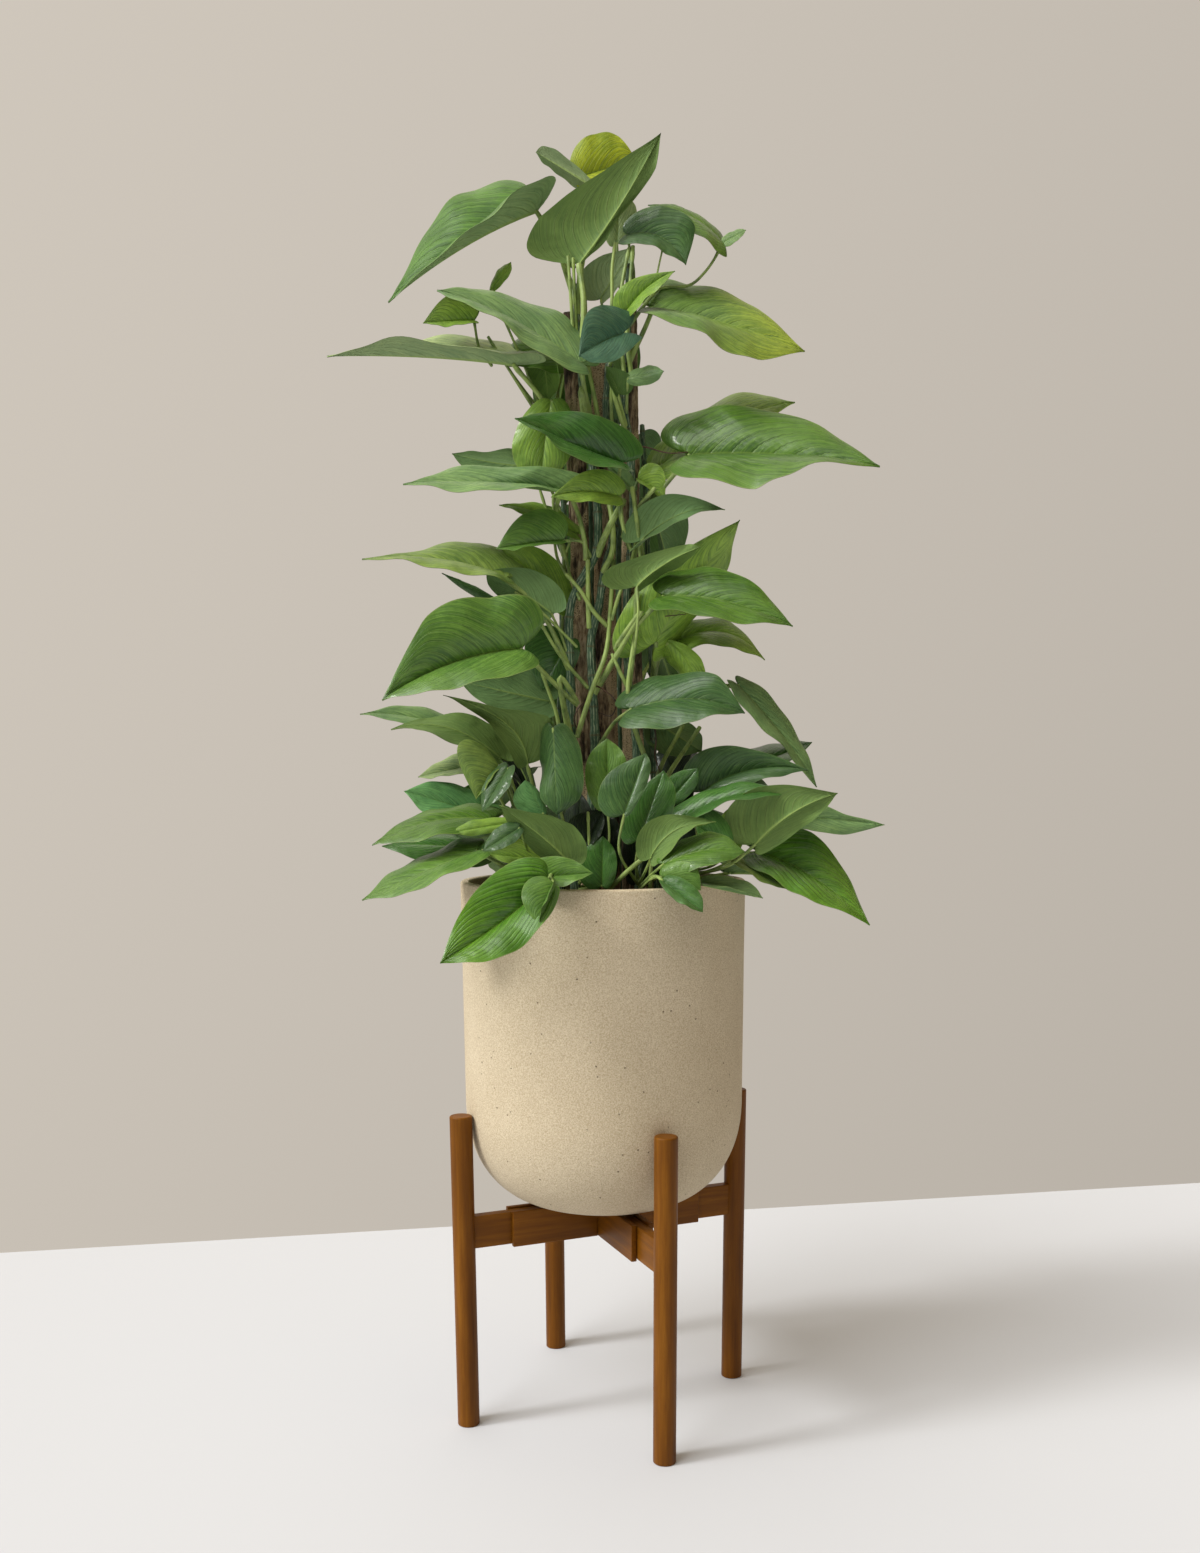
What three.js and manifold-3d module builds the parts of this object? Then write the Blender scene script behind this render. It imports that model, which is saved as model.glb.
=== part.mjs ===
// A jade pothos trained up three bark stakes in a round-bottomed planter, on an adjustable wooden stand.
// Millimetres, +Z up. The origin is on the floor under the planter's axis, and -Y is the front.
import * as THREE from "three";
import { mergeVertices } from "three/addons/utils/BufferGeometryUtils.js";
import Module from "manifold-3d";

const wasm = await Module();
wasm.setup();

// Planter
const POT_RADIUS = 145;
const POT_WALL = 9;
const POT_TOP = 570.5;
const POT_FOOT = 231.8;
const POT_FOOT_RADIUS = 44;
const POT_CURVE_TOP = 345;
const POT_CURVE_POWER = 2.3;
const POT_RIM_ROUND = 2.5;
const POT_SIDES = 40;
const POT_STEPS = 7;

// Soil
const SOIL_TOP = 545;
const SOIL_DOME = 5;
const SOIL_GAP = 0.4;
const HOLE_GAP = 0.6;
const STEM_DEPTH = 45;
const STAKE_DEPTH = 90;

// Stand
const LEG_RADIUS = 11.56;
const LEG_HEIGHT = 336.8;
const LEG_ROUND = 1.6;
const LEG_SIDES = 16;
const LEG_CIRCLE = 156.9;
const STAND_TURN = 0.3877;
const SLAT_TOP = 231.5;
const SLAT_HEIGHT = 38;
const SLAT_THICK = 5.8;
const SLAT_OUTER = 12;
const SLAT_REACH = { front_back: 101.5, left_right: 107 };
const TONGUE_THICK = 11;
const TONGUE_HEIGHT = 34.5;
const TONGUE_INNER = 62;
const TONGUE_SUNK = 9;
const FIT_GAP = 0.3;

// Leaves and stalks
const BLADE_THICK = 1;
const STALK_STEP = 34;
const STEM_SIDES = 6;
const STEM_STEP = 40;
const HOLE_SIDES = 10;
const WIDEST = 0.36;
const NARROWING = 0.72;
const NARROWING_WIDTH = 0.64;

// Half of a blade's margin as [share of the length from the stalk, share of the half width, place on the
// midrib that the point's side vein comes from]. Small leaves have fewer points.
const MARGIN = [
  [0, 0, 0], [-0.1, 0.45, 0.04], [0.08, 0.9, 0.12], [0.36, 1, 0.34], [0.72, 0.66, 0.68], [1, 0, 1],
];
const SMALL_MARGIN = [[0, 0, 0], [-0.06, 0.58, 0.06], [0.34, 1, 0.34], [0.74, 0.6, 0.7], [1, 0, 1]];
const SMALL_LENGTH = 75;

// The viewpoint from which leaves are placed: a leaf point is a picture row and column of a 1200 by 1553
// view, with its depth in millimetres behind the planter's axis.
const VIEW = {
  back: 1409.7, height: 667, pitch: -0.2042, yaw: 0.0027, roll: -0.0051,
  focal: 1368.4, centre: [600, 1066.25],
};

const COLOURS = {
  pot: 0xd2c3a0, soil: 0x2c2119, bark: 0x5d4630, wood: 0x8c5a23,
  vine: 0x3d6a34, leaf: 0x3f7d2c,
};

/** The camera's axes, as right, up and forward vectors. */
function viewAxes() {
  const { pitch, yaw, roll } = VIEW;
  const forward = new THREE.Vector3(
    -Math.sin(yaw) * Math.cos(pitch), Math.cos(yaw) * Math.cos(pitch), Math.sin(pitch));
  const level = new THREE.Vector3(Math.cos(yaw), Math.sin(yaw), 0);
  const upright = new THREE.Vector3().crossVectors(level, forward);
  const right = level.clone().multiplyScalar(Math.cos(roll)).addScaledVector(upright, Math.sin(roll));
  const up = upright.clone().multiplyScalar(Math.cos(roll)).addScaledVector(level, -Math.sin(roll));
  return { right, up, forward };
}

const AXES = viewAxes();

/** The place seen at a picture point, at a depth behind the planter's axis. */
function sight([column, row, depth]) {
  const ray = AXES.forward.clone().multiplyScalar(VIEW.focal)
    .addScaledVector(AXES.right, column - VIEW.centre[0])
    .addScaledVector(AXES.up, VIEW.centre[1] - row);
  const reach = (depth + VIEW.back) / ray.y;
  return new THREE.Vector3(0, -VIEW.back, VIEW.height).addScaledVector(ray, reach);
}

/** A closed solid from a geometry. */
function solidOf(geometry) {
  const bare = new THREE.BufferGeometry();
  bare.setAttribute("position", geometry.getAttribute("position"));
  bare.setIndex(geometry.getIndex());
  const merged = mergeVertices(bare, 1e-4);
  const vertProperties = new Float32Array(merged.getAttribute("position").array);
  const triVerts = new Uint32Array(merged.getIndex().array);
  return new wasm.Manifold(new wasm.Mesh({ numProp: 3, vertProperties, triVerts }));
}

/** A closed solid from a list of points and a list of triangles. */
function solidFrom(points, faces) {
  const geometry = new THREE.BufferGeometry();
  const places = points.flatMap((point) => [point.x, point.y, point.z]);
  geometry.setAttribute("position", new THREE.Float32BufferAttribute(places, 3));
  geometry.setIndex(faces.flat());
  return solidOf(geometry);
}

/** A geometry from a solid. */
function geometryOf(solid) {
  const mesh = solid.getMesh();
  const geometry = new THREE.BufferGeometry();
  geometry.setAttribute("position", new THREE.BufferAttribute(new Float32Array(mesh.vertProperties), 3));
  geometry.setIndex(new THREE.BufferAttribute(new Uint32Array(mesh.triVerts), 1));
  geometry.computeVertexNormals();
  return geometry;
}

/** A named mesh of one colour. */
function part(name, geometry, color, roughness = 0.6) {
  const mesh = new THREE.Mesh(geometry, new THREE.MeshStandardMaterial({ color, roughness, metalness: 0 }));
  mesh.name = name;
  return mesh;
}

/** A seeded run of numbers from 0 to 1. */
function draws(seed) {
  let state = seed;
  return () => {
    state = (state * 1664525 + 1013904223) % 4294967296;
    return state / 4294967296;
  };
}

/** A profile of [radius, height] points turned about +Z. */
function turned(profile, sides) {
  const points = profile.map(([r, z]) => new THREE.Vector2(r, z));
  return new THREE.LatheGeometry(points, sides).rotateX(Math.PI / 2);
}

/** A tube through points, with a radius at each, closed at both ends. */
function tube(points, radii, sides) {
  const rings = [];
  let side = new THREE.Vector3(1, 0, 0);
  points.forEach((point, i) => {
    const before = points[Math.max(i - 1, 0)];
    const after = points[Math.min(i + 1, points.length - 1)];
    const along = new THREE.Vector3().subVectors(after, before).normalize();
    if (i === 0 && Math.abs(along.x) > 0.8) side = new THREE.Vector3(0, 1, 0);
    side = side.clone().addScaledVector(along, -side.dot(along)).normalize();
    const other = new THREE.Vector3().crossVectors(along, side);
    for (let s = 0; s < sides; s += 1) {
      const angle = (2 * Math.PI * s) / sides;
      rings.push(point.clone()
        .addScaledVector(side, radii[i] * Math.cos(angle))
        .addScaledVector(other, radii[i] * Math.sin(angle)));
    }
  });
  const faces = [];
  const last = (points.length - 1) * sides;
  for (let i = 0; i + 1 < points.length; i += 1) {
    for (let s = 0; s < sides; s += 1) {
      const a = i * sides + s;
      const b = i * sides + ((s + 1) % sides);
      faces.push([a, b, b + sides], [a, b + sides, a + sides]);
    }
  }
  for (let s = 1; s + 1 < sides; s += 1) faces.push([0, s + 1, s], [last, last + s, last + s + 1]);
  return solidFrom(rings, faces);
}

/** Points along a smooth curve through the given ones, each span cut in steps of about the given length. */
function sampled(course, step) {
  const curve = new THREE.CatmullRomCurve3(course, false, "centripetal");
  const spans = course.length - 1;
  const cuts = Math.max(1, Math.round(curve.getLength() / spans / step));
  return curve.getPoints(spans * Math.max(cuts, spans === 1 ? 2 : 1));
}

/** The planter's outside or inside as [radius, height] points from the foot up. */
function potCurve(inset) {
  const foot = POT_FOOT + inset;
  const points = [];
  for (let i = 0; i <= POT_STEPS; i += 1) {
    const angle = (Math.PI / 2) * (i / POT_STEPS);
    const bulge = Math.sin(angle) ** (2 / POT_CURVE_POWER);
    const down = Math.cos(angle) ** (2 / POT_CURVE_POWER);
    points.push([
      POT_FOOT_RADIUS + (POT_RADIUS - inset - POT_FOOT_RADIUS) * bulge,
      POT_CURVE_TOP - (POT_CURVE_TOP - foot) * down,
    ]);
  }
  return points;
}

function planter() {
  const outer = potCurve(0);
  const inner = potCurve(POT_WALL).reverse();
  const inside = POT_RADIUS - POT_WALL;
  const rim = [
    [POT_RADIUS, POT_TOP - POT_RIM_ROUND],
    [POT_RADIUS - POT_RIM_ROUND, POT_TOP],
    [inside + POT_RIM_ROUND, POT_TOP],
    [inside, POT_TOP - POT_RIM_ROUND],
  ];
  return turned([[0, POT_FOOT], ...outer, ...rim, ...inner, [0, POT_FOOT + POT_WALL]], POT_SIDES);
}

/** The soil fills the planter, with a hole for each stem and stake. */
function soil(holes) {
  const inset = POT_WALL + SOIL_GAP;
  const radius = POT_RADIUS - inset;
  const profile = [
    [0, POT_FOOT + inset],
    ...potCurve(inset),
    [radius, SOIL_TOP - SOIL_DOME],
    [radius * 0.5, SOIL_TOP],
    [0, SOIL_TOP],
  ];
  const cuts = wasm.Manifold.union(holes);
  return solidOf(turned(profile, POT_SIDES)).subtract(cuts);
}

/** One leg, with the mortise that its tongue sits in. Its arm lies along +X. */
function leg() {
  const profile = [
    [0, 0], [LEG_RADIUS - LEG_ROUND / 2, 0], [LEG_RADIUS, LEG_ROUND / 2],
    [LEG_RADIUS, LEG_HEIGHT - LEG_ROUND], [LEG_RADIUS - LEG_ROUND, LEG_HEIGHT], [0, LEG_HEIGHT],
  ];
  const mortise = new THREE.BoxGeometry(
    LEG_RADIUS * 2, TONGUE_THICK + 2 * FIT_GAP, TONGUE_HEIGHT + 2 * FIT_GAP);
  const depth = TONGUE_SUNK + FIT_GAP;
  mortise.translate(-LEG_RADIUS * 2 + depth, 0, SLAT_TOP - SLAT_HEIGHT / 2);
  return solidOf(turned(profile, LEG_SIDES)).subtract(solidOf(mortise));
}

/** One tongue, along +X from its inner end to its seat in the leg. */
function tongue() {
  const length = LEG_CIRCLE - LEG_RADIUS + TONGUE_SUNK - TONGUE_INNER;
  const box = new THREE.BoxGeometry(length, TONGUE_THICK, TONGUE_HEIGHT);
  return box.translate(TONGUE_INNER + length / 2, 0, SLAT_TOP - SLAT_HEIGHT / 2);
}

/** One slat along X, notched half through where the other rail's two slats cross it. */
function slat(reach, side, notchedAbove) {
  const centre = SLAT_OUTER - SLAT_THICK / 2;
  const middle = SLAT_TOP - SLAT_HEIGHT / 2;
  const bar = new THREE.BoxGeometry(2 * reach, SLAT_THICK, SLAT_HEIGHT);
  let solid = solidOf(bar.translate(0, side * centre, middle));
  for (const crossing of [-centre, centre]) {
    const notch = new THREE.BoxGeometry(SLAT_THICK + 2 * FIT_GAP, 4 * SLAT_THICK, SLAT_HEIGHT);
    const lift = (SLAT_HEIGHT / 2 - FIT_GAP / 2) * (notchedAbove ? 1 : -1);
    solid = solid.subtract(solidOf(notch.translate(crossing, side * centre, middle + lift)));
  }
  return geometryOf(solid);
}

/** Legs, tongues and the two crossing rails. */
function stand() {
  const group = new THREE.Group();
  const arms = { right: 0, back: 1, left: 2, front: 3 };
  for (const [name, quarter] of Object.entries(arms)) {
    const arm = new THREE.Group();
    arm.rotation.z = STAND_TURN + (quarter * Math.PI) / 2;
    const post = part(`leg_${name}`, geometryOf(leg()), COLOURS.wood);
    post.position.x = LEG_CIRCLE;
    // The mortise is cut from the leg's own axis, on the side that faces the planter.
    arm.add(post, part(`tongue_${name}`, tongue(), COLOURS.wood));
    group.add(arm);
  }
  for (const [name, reach] of Object.entries(SLAT_REACH)) {
    const rail = new THREE.Group();
    rail.rotation.z = STAND_TURN + (name === "front_back" ? Math.PI / 2 : 0);
    for (const [place, side] of [["a", -1], ["b", 1]]) {
      rail.add(part(`slat_${name}_${place}`, slat(reach, side, name === "front_back"), COLOURS.wood));
    }
    group.add(rail);
  }
  return group;
}

// Bark stakes: the centre and width at the top and where they enter the soil.
const STAKES = {
  stake_left: { top: [-27, -1, 1101], foot: [-9, -2], width: [17, 21], thick: 12, seed: 11 },
  stake_middle: { top: [0, 13, 1104], foot: [9, 13], width: [20, 20], thick: 12, seed: 23 },
  stake_right: { top: [27, -1, 1106], foot: [33, -1], width: [14, 25], thick: 12, seed: 37 },
};
const STAKE_STEPS = 7;
const STAKE_SIDES = 8;
const BARK_RELIEF = 0.1;

/** A stake as a loft of rough eight-sided sections, or its plain hole when it is let out. */
function stake({ top, foot, width, thick, seed }, letOut = 0) {
  const next = draws(seed);
  const low = new THREE.Vector3(foot[0], foot[1], SOIL_TOP - STAKE_DEPTH - letOut);
  const high = new THREE.Vector3(...top);
  const points = [];
  const faces = [];
  for (let i = 0; i <= STAKE_STEPS; i += 1) {
    const share = i / STAKE_STEPS;
    const centre = low.clone().lerp(high, share);
    const across = (width[1] + (width[0] - width[1]) * share) / 2;
    for (let s = 0; s < STAKE_SIDES; s += 1) {
      const angle = (2 * Math.PI * (s + 0.5)) / STAKE_SIDES;
      const rough = letOut ? 1 + BARK_RELIEF : 1 + BARK_RELIEF * (2 * next() - 1);
      const square = 1.06;
      points.push(new THREE.Vector3(
        centre.x + Math.cos(angle) * square * (across * rough + letOut),
        centre.y + Math.sin(angle) * square * ((thick / 2) * rough + letOut),
        centre.z));
    }
  }
  const last = STAKE_STEPS * STAKE_SIDES;
  for (let i = 0; i < STAKE_STEPS; i += 1) {
    for (let s = 0; s < STAKE_SIDES; s += 1) {
      const a = i * STAKE_SIDES + s;
      const b = i * STAKE_SIDES + ((s + 1) % STAKE_SIDES);
      faces.push([a, b, b + STAKE_SIDES], [a, b + STAKE_SIDES, a + STAKE_SIDES]);
    }
  }
  for (let s = 1; s + 1 < STAKE_SIDES; s += 1) faces.push([0, s + 1, s], [last, last + s, last + s + 1]);
  return solidFrom(points, faces);
}

// Stems: the foot in the soil in millimetres, then picture points with their depth, and the radius.
const STEMS = {
  vine_middle: {
    foot: [-8, -28], radius: 5,
    path: [[592, 800, -24], [592, 730, -22], [591, 640, -20], [599, 600, -20], [602, 572, -20],
      [613, 552, -19], [617, 510, -18], [612, 450, -17], [606, 415, -17], [608, 375, -16], [612, 338, -14]],
  },
  vine_left: {
    foot: [-28, -26], radius: 5,
    path: [[573, 800, -24], [571, 700, -24], [570, 604, -24], [583, 576, -25], [595, 550, -26],
      [596, 500, -20], [590, 450, -18], [584, 400, -18], [580, 360, -17], [577, 320, -14], [577, 285, -12]],
  },
  vine_right: {
    foot: [36, -25], radius: 4.6,
    path: [[637, 800, -23], [636, 740, -21], [629, 690, -21], [627, 640, -20], [627, 590, -20],
      [631, 545, -20], [633, 500, -18], [629, 440, -17], [624, 400, -18], [627, 350, -16], [628, 300, -14],
      [629, 265, -12]],
  },
  vine_far_right: {
    foot: [56, 6], radius: 3.6,
    path: [[654, 800, 6], [653, 720, 6], [651, 640, 6], [648, 560, 6], [645, 480, 6], [642, 425, 6]],
  },
  vine_far_left: {
    foot: [-42, 4], radius: 3.6,
    path: [[561, 800, 4], [560, 720, 4], [561, 660, 4], [563, 600, 4], [565, 540, 4], [562, 480, 4],
      [560, 432, 4]],
  },
  shoot_left: { foot: [-78, 0], radius: 4.5, path: [[526, 868, 0], [524, 838, -2]] },
  shoot_front_left: { foot: [-66, -62], radius: 4.5, path: [[532, 880, -62], [530, 862, -64]] },
  shoot_front: { foot: [-24, -80], radius: 4.5, path: [[576, 880, -80], [577, 862, -80]] },
  shoot_front_right: { foot: [38, -78], radius: 4.5, path: [[638, 880, -80], [640, 862, -80]] },
  shoot_right: { foot: [84, -34], radius: 4.5, path: [[684, 880, -36], [688, 850, -38]] },
  shoot_far_right: { foot: [88, 22], radius: 4.5, path: [[684, 868, 22], [688, 838, 20]] },
};

const FAR = 1;
const NEAR = -1;
const VIEWER = new THREE.Vector3(0, -1, 0);
const AWAY = new THREE.Vector3(0, 1, 0);
const UP = new THREE.Vector3(0, 0, 1);

// Leaves that the front view shows. base, tip and middle are points of the midrib; sides are the margin's
// two widest points, on the near or far side of the midrib; late is the same nearer the tip; joint is the
// picture row where the stalk leaves its stem, and via the stalk's course.
const LEAVES = {
  // Crown
  crown_left_folded: { stem: "vine_left", base: [539, 212, 8], tip: [388, 302, -20], middle: [463, 243],
    sides: [[497, 207, NEAR], [452, 201, FAR]], top: UP, joint: 300, via: [[562, 250, 4]] },
  crown_tall: { stem: "vine_left", base: [579, 262, -16], tip: [660, 133, -34], middle: [612, 198],
    sides: [[541, 214, NEAR], [615, 213, FAR]], top: AWAY, joint: 310 },
  crown_lime: { stem: "vine_left", base: [580, 179, 14], tip: [650, 150, 22],
    sides: [[596, 134, FAR], [625, 195, NEAR]], top: VIEWER, joint: 295, via: [[584, 240, 10]], width: 0.4 },
  crown_curl: { stem: "vine_left", base: [590, 184, 0], tip: [538, 154, -4], middle: [560, 168],
    sides: [[556, 157, NEAR], [558, 178, FAR]], top: AWAY, joint: 290, via: [[588, 235, 0]] },
  crown_back: { stem: "vine_right", base: [617, 243, 28], tip: [620, 194, 32],
    sides: [[604, 222, FAR], [637, 214, NEAR]], top: VIEWER, joint: 296,
    via: [[623, 292, 8], [618, 282, 22]] },
  crown_fan: { stem: "vine_right", base: [630, 237, -12], tip: [686, 265, -28], middle: [662, 238],
    sides: [[658, 205, FAR], [648, 243, NEAR]], top: VIEWER, joint: 320, via: [[634, 275, -12]],
    width: 0.45 },
  crown_fan_back: { stem: "vine_right", base: [722, 242, 0], tip: [648, 205, 10], middle: [690, 216],
    sides: [[700, 216, FAR], [700, 237, NEAR]], top: VIEWER, joint: 325,
    via: [[650, 298, -12], [662, 288, 0], [690, 285, 0], [705, 272, 0], [716, 256, 0]] },
  crown_bud: { stem: "vine_right", base: [722, 243, 0], tip: [746, 230, -4], from: [716, 256, 0],
    sides: [[732, 231, FAR], [734, 243, NEAR]], top: VIEWER },
  crown_olive: { stem: "vine_middle", base: [601, 299, 8], tip: [634, 247, 12],
    sides: [[583, 270, FAR], [624, 280, NEAR]], top: AWAY, joint: 350, width: 0.3 },
  crown_small: { stem: "vine_right", base: [628, 309, -24], tip: [675, 271, -34], middle: [648, 287],
    sides: [[622, 286, FAR], [648, 298, NEAR]], top: VIEWER, joint: 345 },
  crown_right: { stem: "vine_right", base: [653, 308, -10], tip: [805, 351, -36], middle: [727, 324],
    sides: [[690, 286, FAR], [708, 331, NEAR]], late: [[757, 305, FAR], [760, 360, NEAR]], top: VIEWER,
    joint: 365, via: [[645, 328, -14]] },
  crown_teal: { stem: "vine_middle", base: [620, 335, -34], tip: [584, 357, -84], middle: [601, 345],
    sides: [[597, 305, FAR], [640, 340, NEAR]], top: VIEWER, joint: 365, width: 0.45 },
  crown_left: { stem: "vine_left", base: [580, 362, -44], tip: [437, 290, -52], middle: [511, 320],
    sides: [[548, 309, FAR], [518, 336, NEAR]], late: [[478, 286, FAR], [470, 305, NEAR]], top: VIEWER,
    joint: 445, via: [[580, 388, -42], [588, 415, -32]], width: 0.28 },
  crown_left_twig: { stem: "vine_far_left", base: [492, 290, 4], tip: [511, 262, 2],
    sides: [[497, 272, FAR], [508, 277, NEAR]], top: VIEWER, joint: 450,
    via: [[487, 335, 6], [508, 368, 8], [538, 405, 6]] },
  crown_left_olive: { stem: "vine_far_left", base: [474, 321, -2], tip: [423, 323, -12], from: [487, 335, 6],
    via: [[479, 336, 2]], sides: [[457, 292, FAR], [455, 325, NEAR]], top: VIEWER },
  crown_left_long: { stem: "vine_far_left", base: [513, 364, -12], tip: [327, 356, 14], middle: [420, 356],
    sides: [[475, 345, NEAR], [468, 338, FAR]], late: [[385, 341, NEAR], [383, 346, FAR]], top: UP,
    joint: 462, via: [[547, 408, -8]], width: 0.24 },
  crown_left_behind: { stem: "vine_far_left", base: [566, 358, 14], tip: [498, 364, 6], middle: [532, 350],
    sides: [[540, 329, FAR], [535, 369, NEAR]], top: VIEWER, joint: 446, width: 0.4, via: [[556, 405, 12]] },
  crown_left_hanging: { stem: "vine_far_left", base: [545, 362, 12], tip: [549, 401, 8],
    sides: [[526, 374, FAR], [560, 376, NEAR]], top: AWAY, joint: 440, via: [[556, 385, 16]], width: 0.5 },
  crown_lobe_left: { stem: "vine_right", base: [618, 394, -30], tip: [606, 366, -38],
    sides: [[609, 384, NEAR], [632, 378, FAR]], top: AWAY, joint: 430, width: 0.6 },
  crown_lobe_right: { stem: "vine_right", base: [628, 378, -34], tip: [664, 371, -44],
    sides: [[645, 366, FAR], [648, 385, NEAR]], top: VIEWER, joint: 415 },

  // Middle, left of the stakes
  middle_glossy: { stem: "vine_middle", base: [621, 463, -42], tip: [515, 418, -76], middle: [563, 441],
    sides: [[600, 416, FAR], [577, 456, NEAR]], late: [[545, 412, FAR], [540, 433, NEAR]], top: VIEWER,
    joint: 500 },
  middle_lime: { stem: "vine_far_left", base: [551, 400, -16], tip: [541, 482, -20], middle: [545, 440],
    sides: [[512, 447, FAR], [573, 447, NEAR]], top: VIEWER, joint: 470, via: [[560, 418, -10]] },
  middle_pale: { stem: "vine_far_left", base: [542, 468, 10], tip: [452, 454, 4], middle: [497, 464],
    sides: [[508, 448, FAR], [497, 478, NEAR]], late: [[470, 453, FAR], [466, 470, NEAR]], top: AWAY,
    joint: 520 },
  middle_long: { stem: "vine_far_left", base: [560, 492, -34], tip: [403, 484, -50], middle: [480, 483],
    sides: [[537, 466, FAR], [510, 488, NEAR]], late: [[450, 470, FAR], [447, 487, NEAR]], top: VIEWER,
    joint: 555, via: [[556, 515, -20]], width: 0.24 },
  middle_edge_on: { stem: "vine_right", base: [618, 496, -46], tip: [551, 497, -84], middle: [586, 491],
    sides: [[599, 469, FAR], [594, 503, NEAR]], top: VIEWER, joint: 552, via: [[621, 522, -34]] },
  middle_small_left: { stem: "vine_right", base: [634, 491, -24], tip: [604, 460, -22],
    sides: [[624, 466, FAR], [617, 481, NEAR]], top: VIEWER, joint: 575, via: [[637, 530, -32]],
    width: 0.2 },
  middle_small_right: { stem: "vine_right", base: [638, 479, -24], tip: [665, 498, -32], from: [634, 491, -24],
    sides: [[660, 466, FAR], [650, 490, NEAR]], top: VIEWER, width: 0.45 },
  middle_trough: { stem: "vine_left", base: [563, 541, -42], tip: [496, 549, -52],
    sides: [[535, 509, FAR], [530, 547, NEAR]], top: VIEWER, joint: 560, via: [[582, 542, -36]],
    width: 0.36 },
  middle_curl: { stem: "vine_far_left", base: [574, 532, -17], tip: [499, 505, -20], middle: [535, 512],
    sides: [[553, 508, FAR], [540, 522, NEAR]], top: VIEWER, joint: 575, via: [[565, 556, -12]], width: 0.2 },
  middle_left_long: { stem: "vine_left", base: [505, 578, -46], tip: [362, 559, -70], middle: [440, 561],
    sides: [[480, 542, FAR], [455, 568, NEAR]], late: [[415, 551, FAR], [405, 561, NEAR]], top: VIEWER,
    joint: 672, via: [[540, 610, -36]] },
  middle_striped: { stem: "vine_left", base: [551, 613, -38], tip: [486, 571, -46], middle: [518, 590],
    sides: [[545, 575, NEAR], [503, 600, FAR]], top: AWAY, joint: 665, via: [[560, 632, -30]], width: 0.3 },
  middle_dark: { stem: "vine_far_left", base: [563, 604, -14], tip: [502, 550, -20], middle: [533, 572],
    sides: [[552, 556, FAR], [536, 590, NEAR]], top: VIEWER, joint: 645, width: 0.2 },
  middle_sliver: { stem: "vine_far_left", base: [530, 617, -8], tip: [442, 573, -14],
    sides: [[492, 596, FAR], [486, 603, NEAR]], top: VIEWER, joint: 660, via: [[548, 632, -4]], width: 0.12 },

  // Middle, right of the stakes
  right_back: { stem: "vine_far_right", base: [663, 465, 14], tip: [795, 402, 30], middle: [725, 424],
    sides: [[695, 411, FAR], [700, 458, NEAR]], late: [[755, 394, FAR], [750, 428, NEAR]], top: VIEWER,
    joint: 520, via: [[654, 482, 10]] },
  right_big: { stem: "vine_right", base: [690, 455, -30], tip: [880, 466, -84], middle: [785, 455],
    sides: [[732, 408, FAR], [757, 484, NEAR]], late: [[822, 425, FAR], [812, 463, NEAR]], top: VIEWER,
    joint: 568, via: [[657, 483, -22], [634, 522, -27]] },
  right_dull: { stem: "vine_far_right", base: [641, 541, -40], tip: [725, 510, -44], middle: [685, 513],
    sides: [[652, 499, FAR], [668, 526, NEAR]], top: AWAY, joint: 590, width: 0.18 },
  right_underside: { stem: "vine_right", base: [637, 586, -56], tip: [700, 547, -70], middle: [664, 564],
    sides: [[612, 566, NEAR], [668, 571, FAR]], late: [[688, 544, NEAR], [692, 556, FAR]], top: AWAY,
    joint: 690, via: [[634, 655, -48], [638, 616, -61]] },
  right_upright: { stem: "vine_far_right", base: [656, 642, -30], tip: [740, 520, -36], middle: [700, 575],
    sides: [[632, 596, NEAR], [706, 606, FAR]], top: VIEWER, joint: 700, via: [[655, 670, -8]], width: 0.25 },
  right_arched: { stem: "vine_middle", base: [664, 596, -53], tip: [793, 626, -88], middle: [728, 602],
    sides: [[712, 568, FAR], [703, 616, NEAR]], late: [[762, 590, FAR], [757, 621, NEAR]], top: VIEWER,
    joint: 695, via: [[642, 610, -49], [615, 648, -36]], width: 0.26 },
  right_light: { stem: "vine_far_right", base: [672, 643, -2], tip: [765, 660, -16], middle: [722, 632],
    sides: [[706, 616, FAR], [708, 646, NEAR]], top: VIEWER, joint: 690, via: [[661, 655, 2]] },
  right_hanging: { stem: "vine_far_right", base: [668, 643, 14], tip: [694, 702, 6], middle: [688, 666],
    sides: [[673, 668, FAR], [702, 660, NEAR]], top: VIEWER, joint: 685, via: [[660, 652, 10]] },
  right_spoon: { stem: "vine_middle", base: [632, 709, -52], tip: [745, 713, -78], middle: [692, 699],
    sides: [[664, 677, FAR], [676, 725, NEAR]], late: [[718, 676, FAR], [712, 716, NEAR]], top: VIEWER,
    joint: 755, via: [[614, 723, -40]] },
  right_drooping: { stem: "vine_far_right", base: [739, 686, -16], tip: [817, 787, -32], middle: [780, 732],
    sides: [[774, 706, FAR], [764, 722, NEAR]], top: VIEWER, joint: 725, via: [[700, 688, -2]], width: 0.12 },
  right_grey: { stem: "vine_far_right", base: [656, 723, 16], tip: [702, 752, 10],
    sides: [[692, 724, FAR], [658, 752, NEAR]], top: AWAY, joint: 765, width: 0.5 },

  // Low leaves, left
  low_left_big: { stem: "vine_left", base: [520, 649, -84], tip: [382, 700, -120], middle: [450, 664],
    sides: [[490, 598, FAR], [480, 684, NEAR]], late: [[424, 620, FAR], [425, 689, NEAR]], top: VIEWER,
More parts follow.
